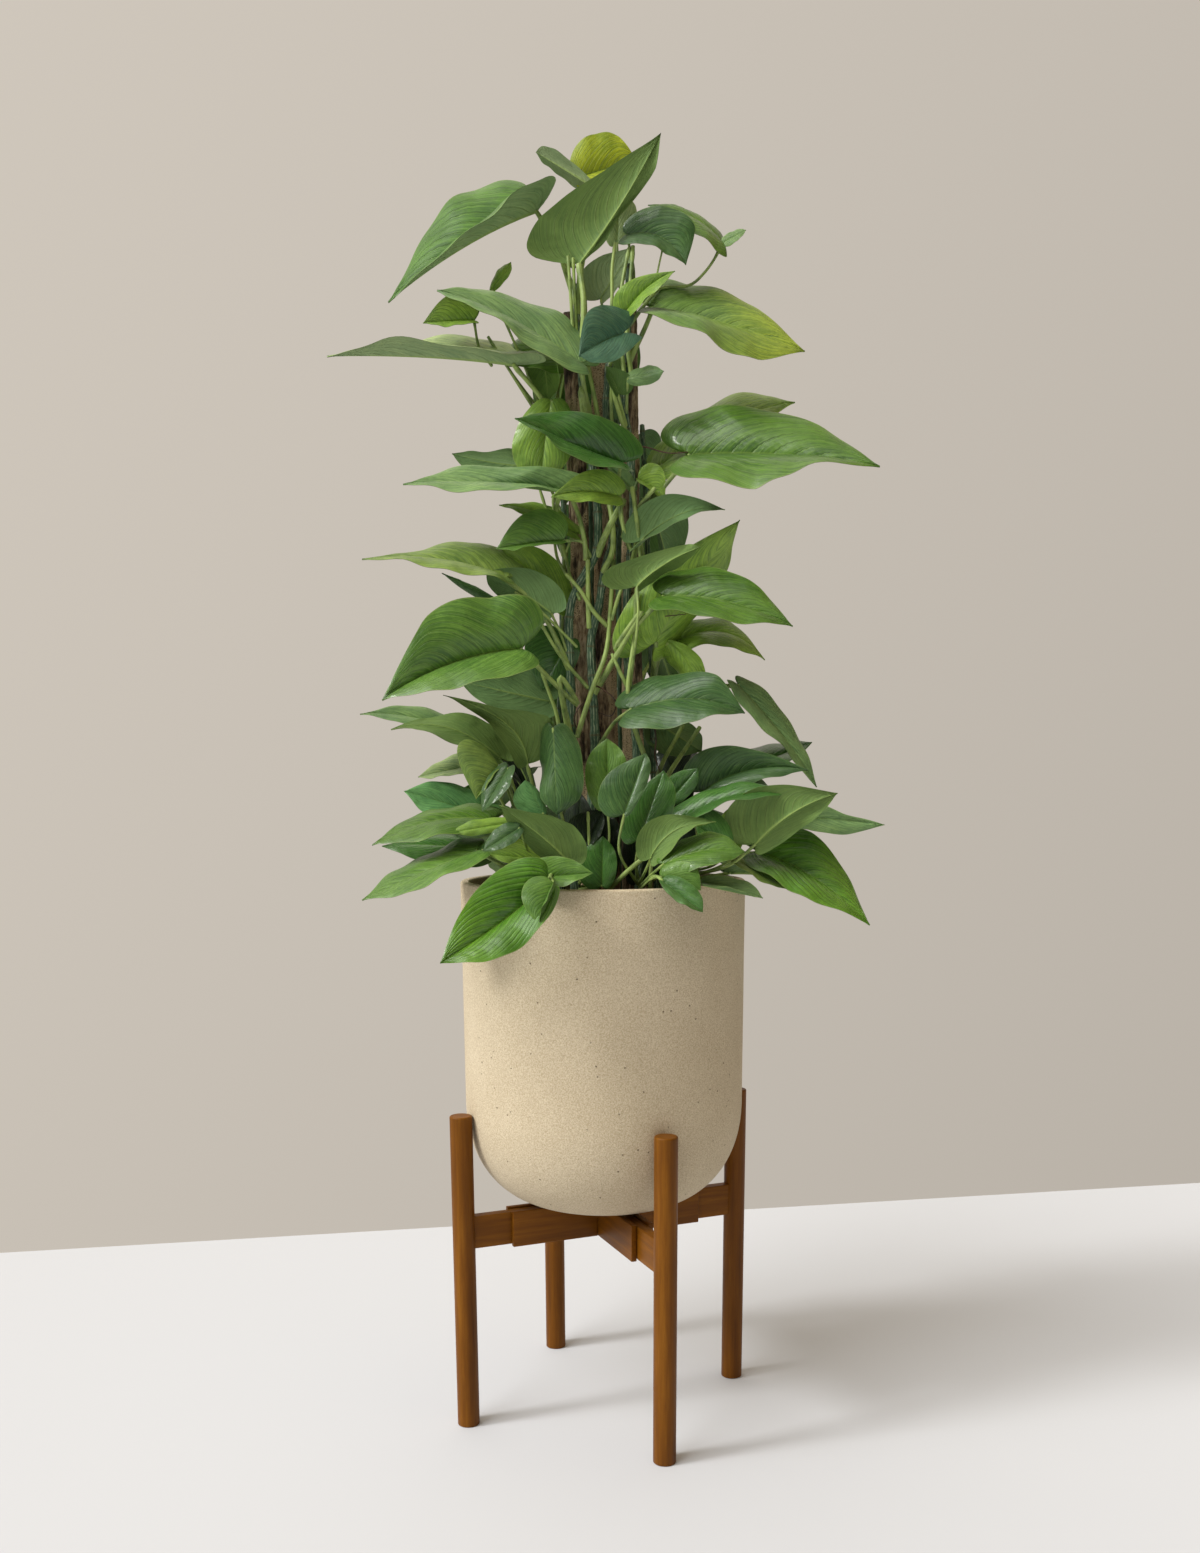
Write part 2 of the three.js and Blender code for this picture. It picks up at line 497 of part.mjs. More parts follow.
    joint: 745, via: [[560, 677, -62], [578, 705, -44]] },
  low_left_dark: { stem: "vine_far_left", base: [568, 640, -13], tip: [542, 690, -14],
    sides: [[526, 640, FAR], [574, 668, NEAR]], top: VIEWER, joint: 690, width: 0.3 },
  low_left_striped: { stem: "vine_far_left", base: [550, 702, -16], tip: [458, 681, -30], middle: [505, 692],
    sides: [[522, 668, FAR], [512, 718, NEAR]], top: AWAY, joint: 745 },
  low_left_corner: { stem: "shoot_front_left", base: [527, 764, -84], tip: [443, 695, -104],
    middle: [494, 720], sides: [[535, 716, FAR], [486, 742, NEAR]], top: AWAY, joint: 868,
    via: [[535, 800, -76]] },
  low_left_tail_far: { stem: "shoot_left", base: [470, 738, -14], tip: [360, 714, -40], middle: [415, 718],
    sides: [[440, 710, FAR], [436, 730, NEAR]], top: UP, joint: 850, via: [[508, 790, -6]], width: 0.2 },
  low_left_tail: { stem: "shoot_left", base: [499, 758, -40], tip: [391, 730, -64], middle: [447, 728],
    sides: [[474, 717, FAR], [462, 745, NEAR]], late: [[424, 718, FAR], [418, 730, NEAR]], top: AWAY,
    joint: 852, via: [[515, 805, -16]], width: 0.24 },
  low_left_wedge: { stem: "shoot_front_left", base: [501, 768, -88], tip: [443, 742, -100],
    sides: [[478, 744, FAR], [470, 766, NEAR]], top: VIEWER, joint: 866, via: [[516, 815, -78]] },
  low_left_pale: { stem: "shoot_left", base: [484, 764, -6], tip: [418, 777, -18],
    sides: [[456, 754, FAR], [455, 775, NEAR]], top: VIEWER, joint: 855, via: [[508, 815, -2]] },
  low_left_cup: { stem: "shoot_front_left", base: [506, 770, -100], tip: [487, 803, -108],
    sides: [[482, 777, FAR], [510, 786, NEAR]], top: VIEWER, joint: 868, via: [[522, 815, -84]], width: 0.4 },
  low_left_broad: { stem: "shoot_left", base: [482, 814, -24], tip: [404, 791, -42],
    sides: [[455, 783, FAR], [445, 822, NEAR]], top: VIEWER, joint: 862, via: [[506, 845, -10]] },
  low_left_arched: { stem: "shoot_front_left", base: [488, 819, -92], tip: [372, 845, -114],
    middle: [428, 822], sides: [[450, 804, FAR], [443, 836, NEAR]], top: VIEWER, joint: 870,
    via: [[512, 848, -76]] },
  low_left_bright: { stem: "shoot_front_left", base: [513, 822, -116], tip: [450, 833, -126],
    sides: [[480, 817, FAR], [484, 836, NEAR]], top: VIEWER, joint: 872, via: [[525, 852, -92]] },
  low_left_slate: { stem: "shoot_front_left", base: [519, 828, -134], tip: [483, 851, -142],
    sides: [[497, 828, FAR], [508, 846, NEAR]], top: VIEWER, joint: 874, via: [[530, 858, -100]] },
  low_left_shade: { stem: "shoot_left", base: [482, 850, -52], tip: [382, 846, -76], middle: [432, 845],
    sides: [[450, 834, FAR], [448, 866, NEAR]], top: VIEWER, joint: 870, via: [[505, 868, -28]] },
  low_left_outer: { stem: "shoot_front_left", base: [476, 851, -118], tip: [362, 900, -146],
    middle: [419, 874], sides: [[428, 851, FAR], [440, 880, NEAR]], top: VIEWER, joint: 880,
    via: [[508, 868, -90]] },
  low_left_inner: { stem: "shoot_front_left", base: [553, 862, -112], tip: [482, 853, -120],
    sides: [[522, 840, FAR], [528, 868, NEAR]], top: VIEWER, joint: 876, via: [[545, 872, -90]] },
  low_front_olive: { stem: "shoot_front_left", base: [571, 865, -128], tip: [499, 805, -140],
    middle: [540, 838], sides: [[578, 824, NEAR], [526, 846, FAR]], top: AWAY, joint: 884, via: [[548, 876, -98]] },
  low_front_tongue: { stem: "shoot_front_left", base: [532, 878, -138], tip: [593, 873, -150],
    sides: [[553, 856, FAR], [556, 886, NEAR]], top: VIEWER, joint: 886, via: [[530, 874, -104]] },
  low_over_rim: { stem: "shoot_front_left", base: [546, 885, -166], tip: [440, 963, -205],
    middle: [497, 925], sides: [[488, 878, FAR], [522, 944, NEAR]], top: VIEWER, joint: 886,
    via: [[552, 872, -128]] },
  low_over_rim_small: { stem: "shoot_front_left", base: [551, 882, -176], tip: [538, 926, -192],
    sides: [[521, 891, FAR], [549, 900, NEAR]], top: VIEWER, joint: 888, via: [[543, 874, -130]] },

  // Low leaves, centre
  low_centre_tall: { stem: "shoot_front", base: [553, 728, -104], tip: [557, 815, -118],
    sides: [[540, 768, FAR], [583, 770, NEAR]], late: [[542, 800, FAR], [578, 800, NEAR]], top: VIEWER,
    joint: 866, via: [[556, 790, -92]] },
  low_centre_dark: { stem: "shoot_front", base: [608, 808, -96], tip: [607, 738, -86],
    sides: [[585, 772, FAR], [628, 770, NEAR]], top: VIEWER, joint: 886, via: [[607, 850, -94]] },
  low_centre_bright: { stem: "shoot_front_right", base: [624, 814, -124], tip: [646, 753, -112],
    sides: [[601, 784, NEAR], [655, 786, FAR]], top: VIEWER, joint: 886, via: [[619, 850, -116]] },
  low_centre_glossy: { stem: "shoot_front_right", base: [640, 838, -106], tip: [664, 770, -96],
    sides: [[624, 812, NEAR], [674, 808, FAR]], top: VIEWER, joint: 880, via: [[636, 862, -96]] },
  low_centre_foot: { stem: "shoot_front", base: [602, 886, -104], tip: [603, 836, -98],
    sides: [[577, 864, FAR], [617, 862, NEAR]], top: VIEWER, joint: 890 },
  low_centre_wedge: { stem: "shoot_front", base: [583, 848, -92], tip: [604, 809, -88],
    sides: [[568, 822, FAR], [600, 834, NEAR]], top: VIEWER, joint: 872 },

  // Low leaves, right
  low_right_hood: { stem: "shoot_right", base: [702, 792, -50], tip: [808, 770, -80], middle: [750, 770],
    sides: [[710, 748, FAR], [752, 784, NEAR]], top: VIEWER, joint: 852, via: [[697, 820, -44]] },
  low_right_hood_back: { stem: "shoot_far_right", base: [728, 772, 14], tip: [812, 742, 4],
    middle: [775, 757], sides: [[760, 746, FAR], [770, 772, NEAR]], top: VIEWER, joint: 850,
    via: [[708, 810, 18]] },
  low_right_shade: { stem: "shoot_right", base: [668, 802, -60], tip: [698, 768, -66],
    sides: [[667, 779, FAR], [692, 792, NEAR]], top: VIEWER, joint: 860, via: [[674, 830, -50]] },
  low_right_olive: { stem: "shoot_right", base: [756, 844, -86], tip: [838, 793, -112], middle: [794, 812],
    sides: [[742, 794, NEAR], [805, 826, FAR]], top: AWAY, joint: 876, via: [[728, 866, -64]], width: 0.22 },
  low_right_long: { stem: "shoot_right", base: [684, 817, -80], tip: [800, 792, -94], middle: [738, 794],
    sides: [[708, 788, FAR], [722, 806, NEAR]], top: VIEWER, joint: 866, via: [[684, 842, -60]], width: 0.2 },
  low_right_tail: { stem: "shoot_far_right", base: [768, 816, -44], tip: [885, 825, -66], middle: [828, 819],
    sides: [[805, 797, FAR], [808, 830, NEAR]], late: [[845, 814, FAR], [848, 834, NEAR]], top: VIEWER,
    joint: 862, via: [[722, 836, -12]], width: 0.15 },
  low_right_fold: { stem: "shoot_front_right", base: [651, 858, -128], tip: [716, 822, -142],
    middle: [676, 830], sides: [[648, 822, FAR], [682, 838, NEAR]], top: AWAY, joint: 884,
    via: [[644, 874, -108]] },
  low_right_bright: { stem: "shoot_front_right", base: [664, 864, -142], tip: [746, 852, -152],
    middle: [706, 850], sides: [[697, 833, FAR], [706, 867, NEAR]], top: VIEWER, joint: 888,
    via: [[652, 874, -124]] },
  low_right_yellow: { stem: "shoot_right", base: [729, 853, -56], tip: [738, 803, -50],
    sides: [[717, 826, FAR], [746, 832, NEAR]], top: VIEWER, joint: 872, via: [[712, 866, -48]] },
  low_right_inner: { stem: "shoot_right", base: [730, 848, -96], tip: [694, 822, -98],
    sides: [[717, 812, FAR], [708, 845, NEAR]], top: VIEWER, joint: 870, via: [[712, 862, -72]] },
  low_right_outer: { stem: "shoot_far_right", base: [762, 853, -40], tip: [870, 925, -88],
    middle: [818, 880], sides: [[812, 833, FAR], [786, 887, NEAR]], late: [[850, 880, FAR], [825, 903, NEAR]],
    top: VIEWER, joint: 870, via: [[734, 855, -12]] },
  low_rim_inner: { stem: "shoot_front_right", base: [662, 878, -152], tip: [701, 890, -162],
    sides: [[690, 863, FAR], [678, 888, NEAR]], top: VIEWER, joint: 888, via: [[654, 876, -130]],
    width: 0.4 },
  low_rim_over: { stem: "shoot_front_right", base: [662, 885, -170], tip: [703, 912, -182],
    sides: [[690, 884, FAR], [676, 900, NEAR]], top: VIEWER, joint: 890, via: [[656, 877, -144]] },
  low_rim_right: { stem: "shoot_right", base: [703, 884, -136], tip: [763, 898, -146],
    sides: [[738, 878, FAR], [730, 889, NEAR]], top: VIEWER, joint: 880, via: [[694, 878, -96]] },
  low_rim_far: { stem: "shoot_right", base: [736, 872, -104], tip: [794, 892, -120],
    sides: [[760, 865, FAR], [760, 878, NEAR]], top: VIEWER, joint: 878, via: [[712, 872, -76]] },
};

// Stems that the stakes hide. A climbing one has its height and a run of leaves, and a low one leaves
// that fan out over the back of the rim.
const BACK_VINES = {
  vine_back_left: {
    foot: [-26, 32], top: [-24, 34, 1050], radius: 4.6,
    leaves: 6, from: 700, fan: [-1, -0.2], seed: 226,
  },
  vine_back_middle: {
    foot: [5, 34], top: [4, 36, 1090], radius: 4.6,
    leaves: 7, from: 715, fan: [-0.4, 0.4], seed: 87,
  },
  vine_back_right: {
    foot: [38, 32], top: [35, 32, 985], radius: 4.6,
    leaves: 5, from: 694, fan: [0.1, 0.9], seed: 267,
  },
};
const BACK_SHOOTS = {
  shoot_back_left: { foot: [-62, 58], leaves: 6, turn: [108, 185], seed: 9 },
  shoot_back: { foot: [2, 74], leaves: 4, turn: [62, 118], seed: 18 },
  shoot_back_right: { foot: [66, 56], leaves: 6, turn: [-5, 70], seed: 41 },
};

// How far to either side the leaves behind the stakes reach, by height, so that the front view keeps
// its outline.
const BACK_REACH = [[600, 170], [850, 145], [930, 85], [1050, 60], [1110, 30]];

/** The points that a stem runs through above the soil. */
function stemCourse({ foot, path }) {
  return [new THREE.Vector3(foot[0], foot[1], SOIL_TOP + 6), ...path];
}

/** The place on a stem at a height. */
function stemAt(course, height) {
  const points = sampled(course, STEM_STEP);
  const above = Math.max(1, points.findIndex((point) => point.z > height));
  const [low, high] = [points[above - 1], points[above]];
  return low.clone().lerp(high, (height - low.z) / (high.z - low.z));
}

/** A stem's solid: a straight foot in the soil, then its course, thinner towards its top. */
function stemSolid(course, { foot, radius }) {
  const points = [
    new THREE.Vector3(foot[0], foot[1], SOIL_TOP - STEM_DEPTH),
    new THREE.Vector3(foot[0], foot[1], SOIL_TOP + 1),
    ...sampled(course, STEM_STEP),
  ];
  const radii = points.map((_, i) => radius * (1 - (0.35 * i) / points.length));
  return tube(points, radii, STEM_SIDES);
}

/** The hole in the soil that a stem stands in. */
function stemHole({ foot, radius }) {
  const depth = STEM_DEPTH + HOLE_GAP;
  const hole = new THREE.CylinderGeometry(radius + HOLE_GAP, radius + HOLE_GAP, depth + 20, HOLE_SIDES);
  return solidOf(hole.rotateX(Math.PI / 2).translate(foot[0], foot[1], SOIL_TOP - depth + (depth + 20) / 2));
}

/** A leaf's midrib, sides and upper direction, worked out from its picture points. */
function leafFromView(leaf) {
  const base = sight(leaf.base);
  const tip = sight(leaf.tip);
  const depthAt = (share) => leaf.base[2] + (leaf.tip[2] - leaf.base[2]) * share;
  const straight = base.clone().lerp(tip, 0.5);
  const middle = leaf.middle ? sight([...leaf.middle, depthAt(0.5)]) : straight.clone();
  const bow = middle.sub(straight);
  const length = base.distanceTo(tip);
  const half = length * (leaf.width ?? 0.31);
  const reach = ([column, row, side], share, width) => {
    const rib = midrib({ base, tip, bow }, share);
    const flat = sight([column, row, depthAt(share)]).sub(rib).length();
    const hidden = Math.sqrt(Math.max(0, (half * width) ** 2 - flat ** 2));
    return sight([column, row, depthAt(share) + side * hidden]).sub(rib).divideScalar(width);
  };
  const early = leaf.sides.map((point) => reach(point, WIDEST, 1));
  const late = leaf.late ? leaf.late.map((point) => reach(point, NARROWING, NARROWING_WIDTH)) : early;
  const upper = new THREE.Vector3().crossVectors(early[1].clone().sub(early[0]), tip.clone().sub(base));
  const order = upper.dot(leaf.top) < 0 ? [1, 0] : [0, 1];
  return { base, tip, bow, length, early: order.map((i) => early[i]), late: order.map((i) => late[i]) };
}

/** A leaf that grows out from a stem: a place, an outward turn, and how it droops and leans. */
function leafFromPlace({ base, turn, length, droop, lean, width }) {
  const out = new THREE.Vector3(Math.cos(turn), Math.sin(turn), 0);
  const across = new THREE.Vector3(Math.sin(turn), -Math.cos(turn), 0);
  const along = out.clone().multiplyScalar(Math.cos(droop)).addScaledVector(UP, -Math.sin(droop));
  const above = new THREE.Vector3().crossVectors(across, along);
  const tip = base.clone().addScaledVector(along, length);
  const side = across.clone().multiplyScalar(Math.cos(lean)).addScaledVector(above, Math.sin(lean));
  const fold = above.clone().multiplyScalar(0.1 * length);
  const early = [-1, 1].map((sign) => side.clone().multiplyScalar(sign * width * length).add(fold));
  const bow = above.clone().multiplyScalar(0.07 * length);
  return { base, tip, bow, length, early, late: early };
}

/** A point of a leaf's midrib, at a share of its length from the stalk. */
function midrib({ base, tip, bow }, share) {
  const point = base.clone().lerp(tip, share);
  return point.addScaledVector(bow, share < 0 ? 4 * share : 4 * share * (1 - share));
}

/** A point on a three-sided stalk's ring: 0 above the middle, 1 below to the left, 2 below to the right. */
function ringPoint(centre, above, across, radius, corner) {
  const rise = corner === 0 ? radius : -radius / 2;
  const shift = [0, -1, 1][corner] * radius * 0.87;
  return centre.clone().addScaledVector(above, rise).addScaledVector(across, shift);
}

/** A leaf: a blade of two halves that meet at the midrib, as thick all over, with its stalk to a stem. */
function leafSolid(leaf, root, via) {
  const rows = leaf.length > SMALL_LENGTH ? MARGIN : SMALL_MARGIN;
  const last = rows.length - 1;
  const points = [];
  const ribs = rows.map(([, , share]) => points.push(midrib(leaf, share)) - 1);
  const rims = leaf.early.map((early, side) => rows.map(([share, width], row) => {
    if (row === 0 || row === last) return ribs[row];
    const blend = THREE.MathUtils.clamp((share - WIDEST) / (NARROWING - WIDEST), 0, 1);
    const reach = early.clone().lerp(leaf.late[side], blend);
    return points.push(midrib(leaf, share).addScaledVector(reach, width)) - 1;
  }));
  const upper = [];
  rims.forEach((rim, side) => {
    for (let row = 0; row < last; row += 1) {
      const corners = [[ribs[row], rim[row], rim[row + 1]], [ribs[row], rim[row + 1], ribs[row + 1]]];
      const real = corners.filter(([a, b, c]) => a !== b && b !== c);
      upper.push(...real.map(([a, b, c]) => ({ side, face: side === 1 ? [a, b, c] : [a, c, b] })));
    }
  });
  const normals = points.map(() => new THREE.Vector3());
  for (const { face: [a, b, c] } of upper) {
    const edge = points[b].clone().sub(points[a]);
    const normal = edge.cross(points[c].clone().sub(points[a])).normalize();
    for (const corner of [a, b, c]) normals[corner].add(normal);
  }
  normals.forEach((normal) => normal.normalize());

  // Both skins. Where the stalk joins, the lower skin's first point is two: one to each side.
  const count = points.length;
  const above = normals[ribs[0]];
  const across = leaf.early[1].clone().sub(leaf.early[0]);
  across.addScaledVector(above, -across.dot(above)).normalize();
  const thick = THREE.MathUtils.clamp(leaf.length / 60, 1.3, 2.2);
  const skin = [1, -1].flatMap((way) => points.map((point, i) => (
    point.clone().addScaledVector(normals[i], (way * BLADE_THICK) / 2))));
  const forks = [-1, 1].map((way) => (
    skin.push(skin[ribs[0] + count].clone().addScaledVector(across, way * thick * 0.6)) - 1));
  const below = (corner, side) => (corner === ribs[0] ? forks[side] : corner + count);
  const faces = upper.flatMap(({ side, face: [a, b, c] }) => [
    [a, b, c], [below(a, side), below(c, side), below(b, side)]]);
  faces.push([forks[0], ribs[1] + count, forks[1]]);
  rims.forEach((rim, side) => {
    for (let row = 0; row < last; row += 1) {
      const [p, q] = side === 1 ? [rim[row], rim[row + 1]] : [rim[row + 1], rim[row]];
      faces.push([p, below(p, side), below(q, side)], [p, below(q, side), q]);
    }
  });

  // The stalk, from the blade back to its root.
  const course = sampled([leaf.base, ...[...via].reverse(), root], STALK_STEP);
  let ring = [ribs[0], forks[0], forks[1]];
  const frame = { above: above.clone(), across, back: new THREE.Vector3().crossVectors(across, above) };
  for (let i = 1; i < course.length; i += 1) {
    const ahead = course[Math.min(i + 1, course.length - 1)].clone().sub(course[i - 1]).normalize();
    const turn = new THREE.Quaternion().setFromUnitVectors(frame.back, ahead);
    for (const axis of Object.values(frame)) axis.applyQuaternion(turn);
    const radius = thick * (0.7 + (0.3 * i) / course.length);
    const next = [0, 1, 2].map((corner) => (
      skin.push(ringPoint(course[i], frame.above, frame.across, radius, corner)) - 1));
    for (const [p, q] of [[0, 1], [1, 2], [2, 0]]) {
      faces.push([ring[p], ring[q], next[q]], [ring[p], next[q], next[p]]);
    }
    ring = next;
  }
  faces.push(ring);
  return solidFrom(skin, faces);
}

/** One node: a stem with its stalks and leaves joined in one body. */
function shoot(name, solids) {
  const whole = wasm.Manifold.union(solids);
  return part(name, geometryOf(whole), COLOURS.leaf, 0.45);
}

/** The shoots that the front view shows. */
function frontShoots(holes) {
  return Object.entries(STEMS).map(([name, stem]) => {
    const course = stemCourse({ foot: stem.foot, path: stem.path.map(sight) });
    holes.push(stemHole(stem));
    const solids = [stemSolid(course, stem)];
    for (const entry of Object.values(LEAVES).filter((leaf) => leaf.stem === name)) {
      const root = entry.from ? sight(entry.from)
        : stemAt(course, sight([VIEW.centre[0], entry.joint, stem.foot[1]]).z);
      solids.push(leafSolid(leafFromView(entry), root, (entry.via ?? []).map(sight)));
    }
    return shoot(name, solids);
  });
}

/** How far to the side a leaf behind the stakes may reach at a height. */
function sideReach(height) {
  const above = Math.max(1, BACK_REACH.findIndex(([level]) => level > height));
  const [[low, lowReach], [high, highReach]] = [BACK_REACH[above - 1], BACK_REACH[above]];
  return THREE.MathUtils.mapLinear(height, low, high, lowReach, highReach);
}

/** The climbing stems behind the stakes, with leaves by rule. */
function backVines(holes) {
  return Object.entries(BACK_VINES).map(([name, vine]) => {
    const next = draws(vine.seed);
    const course = stemCourse({ foot: vine.foot, path: [new THREE.Vector3(...vine.top)] });
    holes.push(stemHole(vine));
    const solids = [stemSolid(course, vine)];
    const spacing = (vine.top[2] - 6 - vine.from) / (vine.leaves - 1);
    for (let i = 0; i < vine.leaves; i += 1) {
      const root = stemAt(course, vine.from + spacing * i);
      const stalk = 38 + 36 * next();
      const length = 86 + 34 * next();
      const across = THREE.MathUtils.lerp(vine.fan[0], vine.fan[1], (i * 0.618 + 0.2 * next()) % 1);
      const aside = (across * sideReach(root.z) - root.x) / (stalk + length);
      const turn = Math.acos(THREE.MathUtils.clamp(aside, -0.94, 0.94));
      const out = new THREE.Vector3(Math.cos(turn), Math.sin(turn), 0);
      const base = root.clone().addScaledVector(out, stalk).addScaledVector(UP, 22 + 20 * next());
      const leaf = leafFromPlace({
        base, turn, length, droop: 0.5 + 0.4 * next(), lean: 0.4 * (next() - 0.5), width: 0.31,
      });
      solids.push(leafSolid(leaf, root, []));
    }
    return shoot(name, solids);
  });
}

/** The low shoots behind the stakes, with leaves by rule. */
function backShoots(holes) {
  return Object.entries(BACK_SHOOTS).map(([name, { foot, leaves, turn, seed }]) => {
    const next = draws(seed);
    const stem = { foot, radius: 4.5 };
    const course = stemCourse({ foot, path: [new THREE.Vector3(foot[0], foot[1], SOIL_TOP + 46)] });
    holes.push(stemHole(stem));
    const solids = [stemSolid(course, stem)];
    for (let i = 0; i < leaves; i += 1) {
      const root = stemAt(course, SOIL_TOP + 16 + (24 * i) / leaves);
      const across = (i * 0.618 + 0.15 * next()) % 1;
      const angle = THREE.MathUtils.degToRad(turn[0] + (turn[1] - turn[0]) * across);
      const out = new THREE.Vector3(Math.cos(angle), Math.sin(angle), 0);
      const base = root.clone()
        .addScaledVector(out, 40 + 30 * next()).addScaledVector(UP, 12 + 17 * i);
      const leaf = leafFromPlace({
        base, turn: angle, length: 78 + 34 * next(), droop: 0.15 + 0.5 * next(),
        lean: 0.4 * (next() - 0.5), width: 0.32,
      });
      solids.push(leafSolid(leaf, root, []));
    }
    return shoot(name, solids);
  });
}

function build() {
  const group = new THREE.Group();
  const holes = [];
  group.add(stand(), part("planter", planter(), COLOURS.pot, 0.9));
  for (const [name, spec] of Object.entries(STAKES)) {
    group.add(part(name, geometryOf(stake(spec)), COLOURS.bark, 0.95));
    holes.push(stake(spec, HOLE_GAP));
  }
  group.add(...frontShoots(holes), ...backVines(holes), ...backShoots(holes));
  group.add(part("soil", geometryOf(soil(holes)), COLOURS.soil, 1));
  return group;
}

export default build();
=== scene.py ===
"""A jade pothos that climbs three bark stakes in a cream planter, on an adjustable wooden stand.

Everything is worked out in millimetres and made in metres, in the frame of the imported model.
"""

import logging
import math
from dataclasses import dataclass, field
from enum import Enum
from typing import Dict, List, Optional, Sequence, Tuple, Union

import bpy
import bmesh
import numpy as np
from mathutils import Matrix, Vector, noise


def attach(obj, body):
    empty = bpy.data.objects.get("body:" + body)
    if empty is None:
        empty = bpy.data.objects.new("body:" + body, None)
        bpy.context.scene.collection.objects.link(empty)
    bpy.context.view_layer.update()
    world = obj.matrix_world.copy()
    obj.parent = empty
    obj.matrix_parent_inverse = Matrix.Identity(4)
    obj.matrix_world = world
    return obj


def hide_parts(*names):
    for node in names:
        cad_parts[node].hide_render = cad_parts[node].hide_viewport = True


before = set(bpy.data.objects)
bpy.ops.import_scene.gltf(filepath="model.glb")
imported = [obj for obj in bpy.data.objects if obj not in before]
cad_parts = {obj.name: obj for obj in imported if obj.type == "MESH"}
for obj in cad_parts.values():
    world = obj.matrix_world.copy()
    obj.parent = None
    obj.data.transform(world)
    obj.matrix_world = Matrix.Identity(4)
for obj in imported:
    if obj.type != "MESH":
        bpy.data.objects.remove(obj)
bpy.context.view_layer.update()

log = logging.getLogger("pothos")

METRE = 0.001
UP = np.array([0.0, 0.0, 1.0])
GOLDEN = 0.618
Colour = Tuple[float, float, float, float]
Triple = Tuple[float, float, float]
Place = Tuple[float, float]
Shades = Tuple[Tuple[float, Colour], ...]


def colour(red: int, green: int, blue: int) -> Colour:
    """The linear colour of three screen values from 0 to 255.

    Args:
        red: The red value.
        green: The green value.
        blue: The blue value.

    Returns:
        The colour, with 1 as its fourth number.
    """
    def linear(value: float) -> float:
        """One channel without the screen's gamma."""
        share = value / 255
        return share / 12.92 if share <= 0.04045 else ((share + 0.055) / 1.055) ** 2.4
    return (linear(red), linear(green), linear(blue), 1.0)


def unit(vector: np.ndarray) -> np.ndarray:
    """The vectors at length 1, along the last axis."""
    size = np.linalg.norm(vector, axis=-1, keepdims=True)
    return vector / np.maximum(size, 1e-9)


def outward(turn: float) -> np.ndarray:
    """The level direction at a turn."""
    return np.array([math.cos(turn), math.sin(turn), 0.0])


def reaches(points: np.ndarray) -> np.ndarray:
    """How far along a line of points each one is."""
    return np.concatenate([[0], np.cumsum(np.linalg.norm(np.diff(points, axis=0), axis=1))])


def between_rows(at: np.ndarray, known: np.ndarray, rows: np.ndarray) -> np.ndarray:
    """Rows of three numbers, worked out between the known places."""
    return np.stack([np.interp(at, known, rows[:, axis]) for axis in range(3)], axis=1)


def placed(name: str, data: bpy.types.ID) -> bpy.types.Object:
    """A new object in the scene.

    Args:
        name: Its name.
        data: Its mesh, lamp or camera.

    Returns:
        The object.
    """
    made = bpy.data.objects.new(name, data)
    bpy.context.scene.collection.objects.link(made)
    return made


def stands_in(made: bpy.types.Object, node: str, body: str = "body") -> bpy.types.Object:
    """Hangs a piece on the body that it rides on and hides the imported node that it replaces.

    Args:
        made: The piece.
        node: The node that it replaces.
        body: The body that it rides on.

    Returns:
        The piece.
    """
    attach(made, body)
    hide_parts(node)
    return made


def smooth(low: float, high: float, value: np.ndarray) -> np.ndarray:
    """A soft step from 0 at low to 1 at high."""
    share = np.clip((value - low) / (high - low), 0, 1)
    return share * share * (3 - 2 * share)


class Wire:
    """One output of a shader node, so that maths on it reads as an expression."""

    def __init__(self, sheet: "NodeSheet", socket: bpy.types.NodeSocket) -> None:
        """Keeps the output socket and the sheet it is on."""
        self.sheet = sheet
        self.socket = socket

    def maths(self, operation: str, *values: "Feed") -> "Wire":
        """A Math node on these values, in the order of its sockets."""
        return self.sheet.node("ShaderNodeMath", {"operation": operation}, dict(enumerate(values)))

    def __add__(self, other: "Feed") -> "Wire":
        """This plus other."""
        return self.maths("ADD", self, other)

    def __radd__(self, other: "Feed") -> "Wire":
        """Other plus this."""
        return self.maths("ADD", other, self)

    def __sub__(self, other: "Feed") -> "Wire":
        """This minus other."""
        return self.maths("SUBTRACT", self, other)

    def __rsub__(self, other: "Feed") -> "Wire":
        """Other minus this."""
        return self.maths("SUBTRACT", other, self)

    def __mul__(self, other: "Feed") -> "Wire":
        """This times other."""
        return self.maths("MULTIPLY", self, other)

    def __rmul__(self, other: "Feed") -> "Wire":
        """Other times this."""
        return self.maths("MULTIPLY", other, self)

    def __truediv__(self, other: "Feed") -> "Wire":
        """This over other."""
        return self.maths("DIVIDE", self, other)

    def __rtruediv__(self, other: "Feed") -> "Wire":
        """Other over this."""
        return self.maths("DIVIDE", other, self)

    def __abs__(self) -> "Wire":
        """This without its sign."""
        return self.maths("ABSOLUTE", self)

    def fraction(self) -> "Wire":
        """What is left above the whole number below this."""
        return self.maths("FRACT", self)

    def step(self, low: float, high: float) -> "Wire":
        """A soft step from 0 at low to 1 at high."""
        feeds = {"Value": self, "From Min": low, "From Max": high}
        return self.sheet.node("ShaderNodeMapRange", {"interpolation_type": "SMOOTHSTEP"}, feeds)

    def between(self, first: "Feed", second: "Feed") -> "Wire":
        """A colour between two, with this as the share of the second."""
        return self.sheet.mixed(self, first, second)


Feed = Union[Wire, float, Sequence[float]]


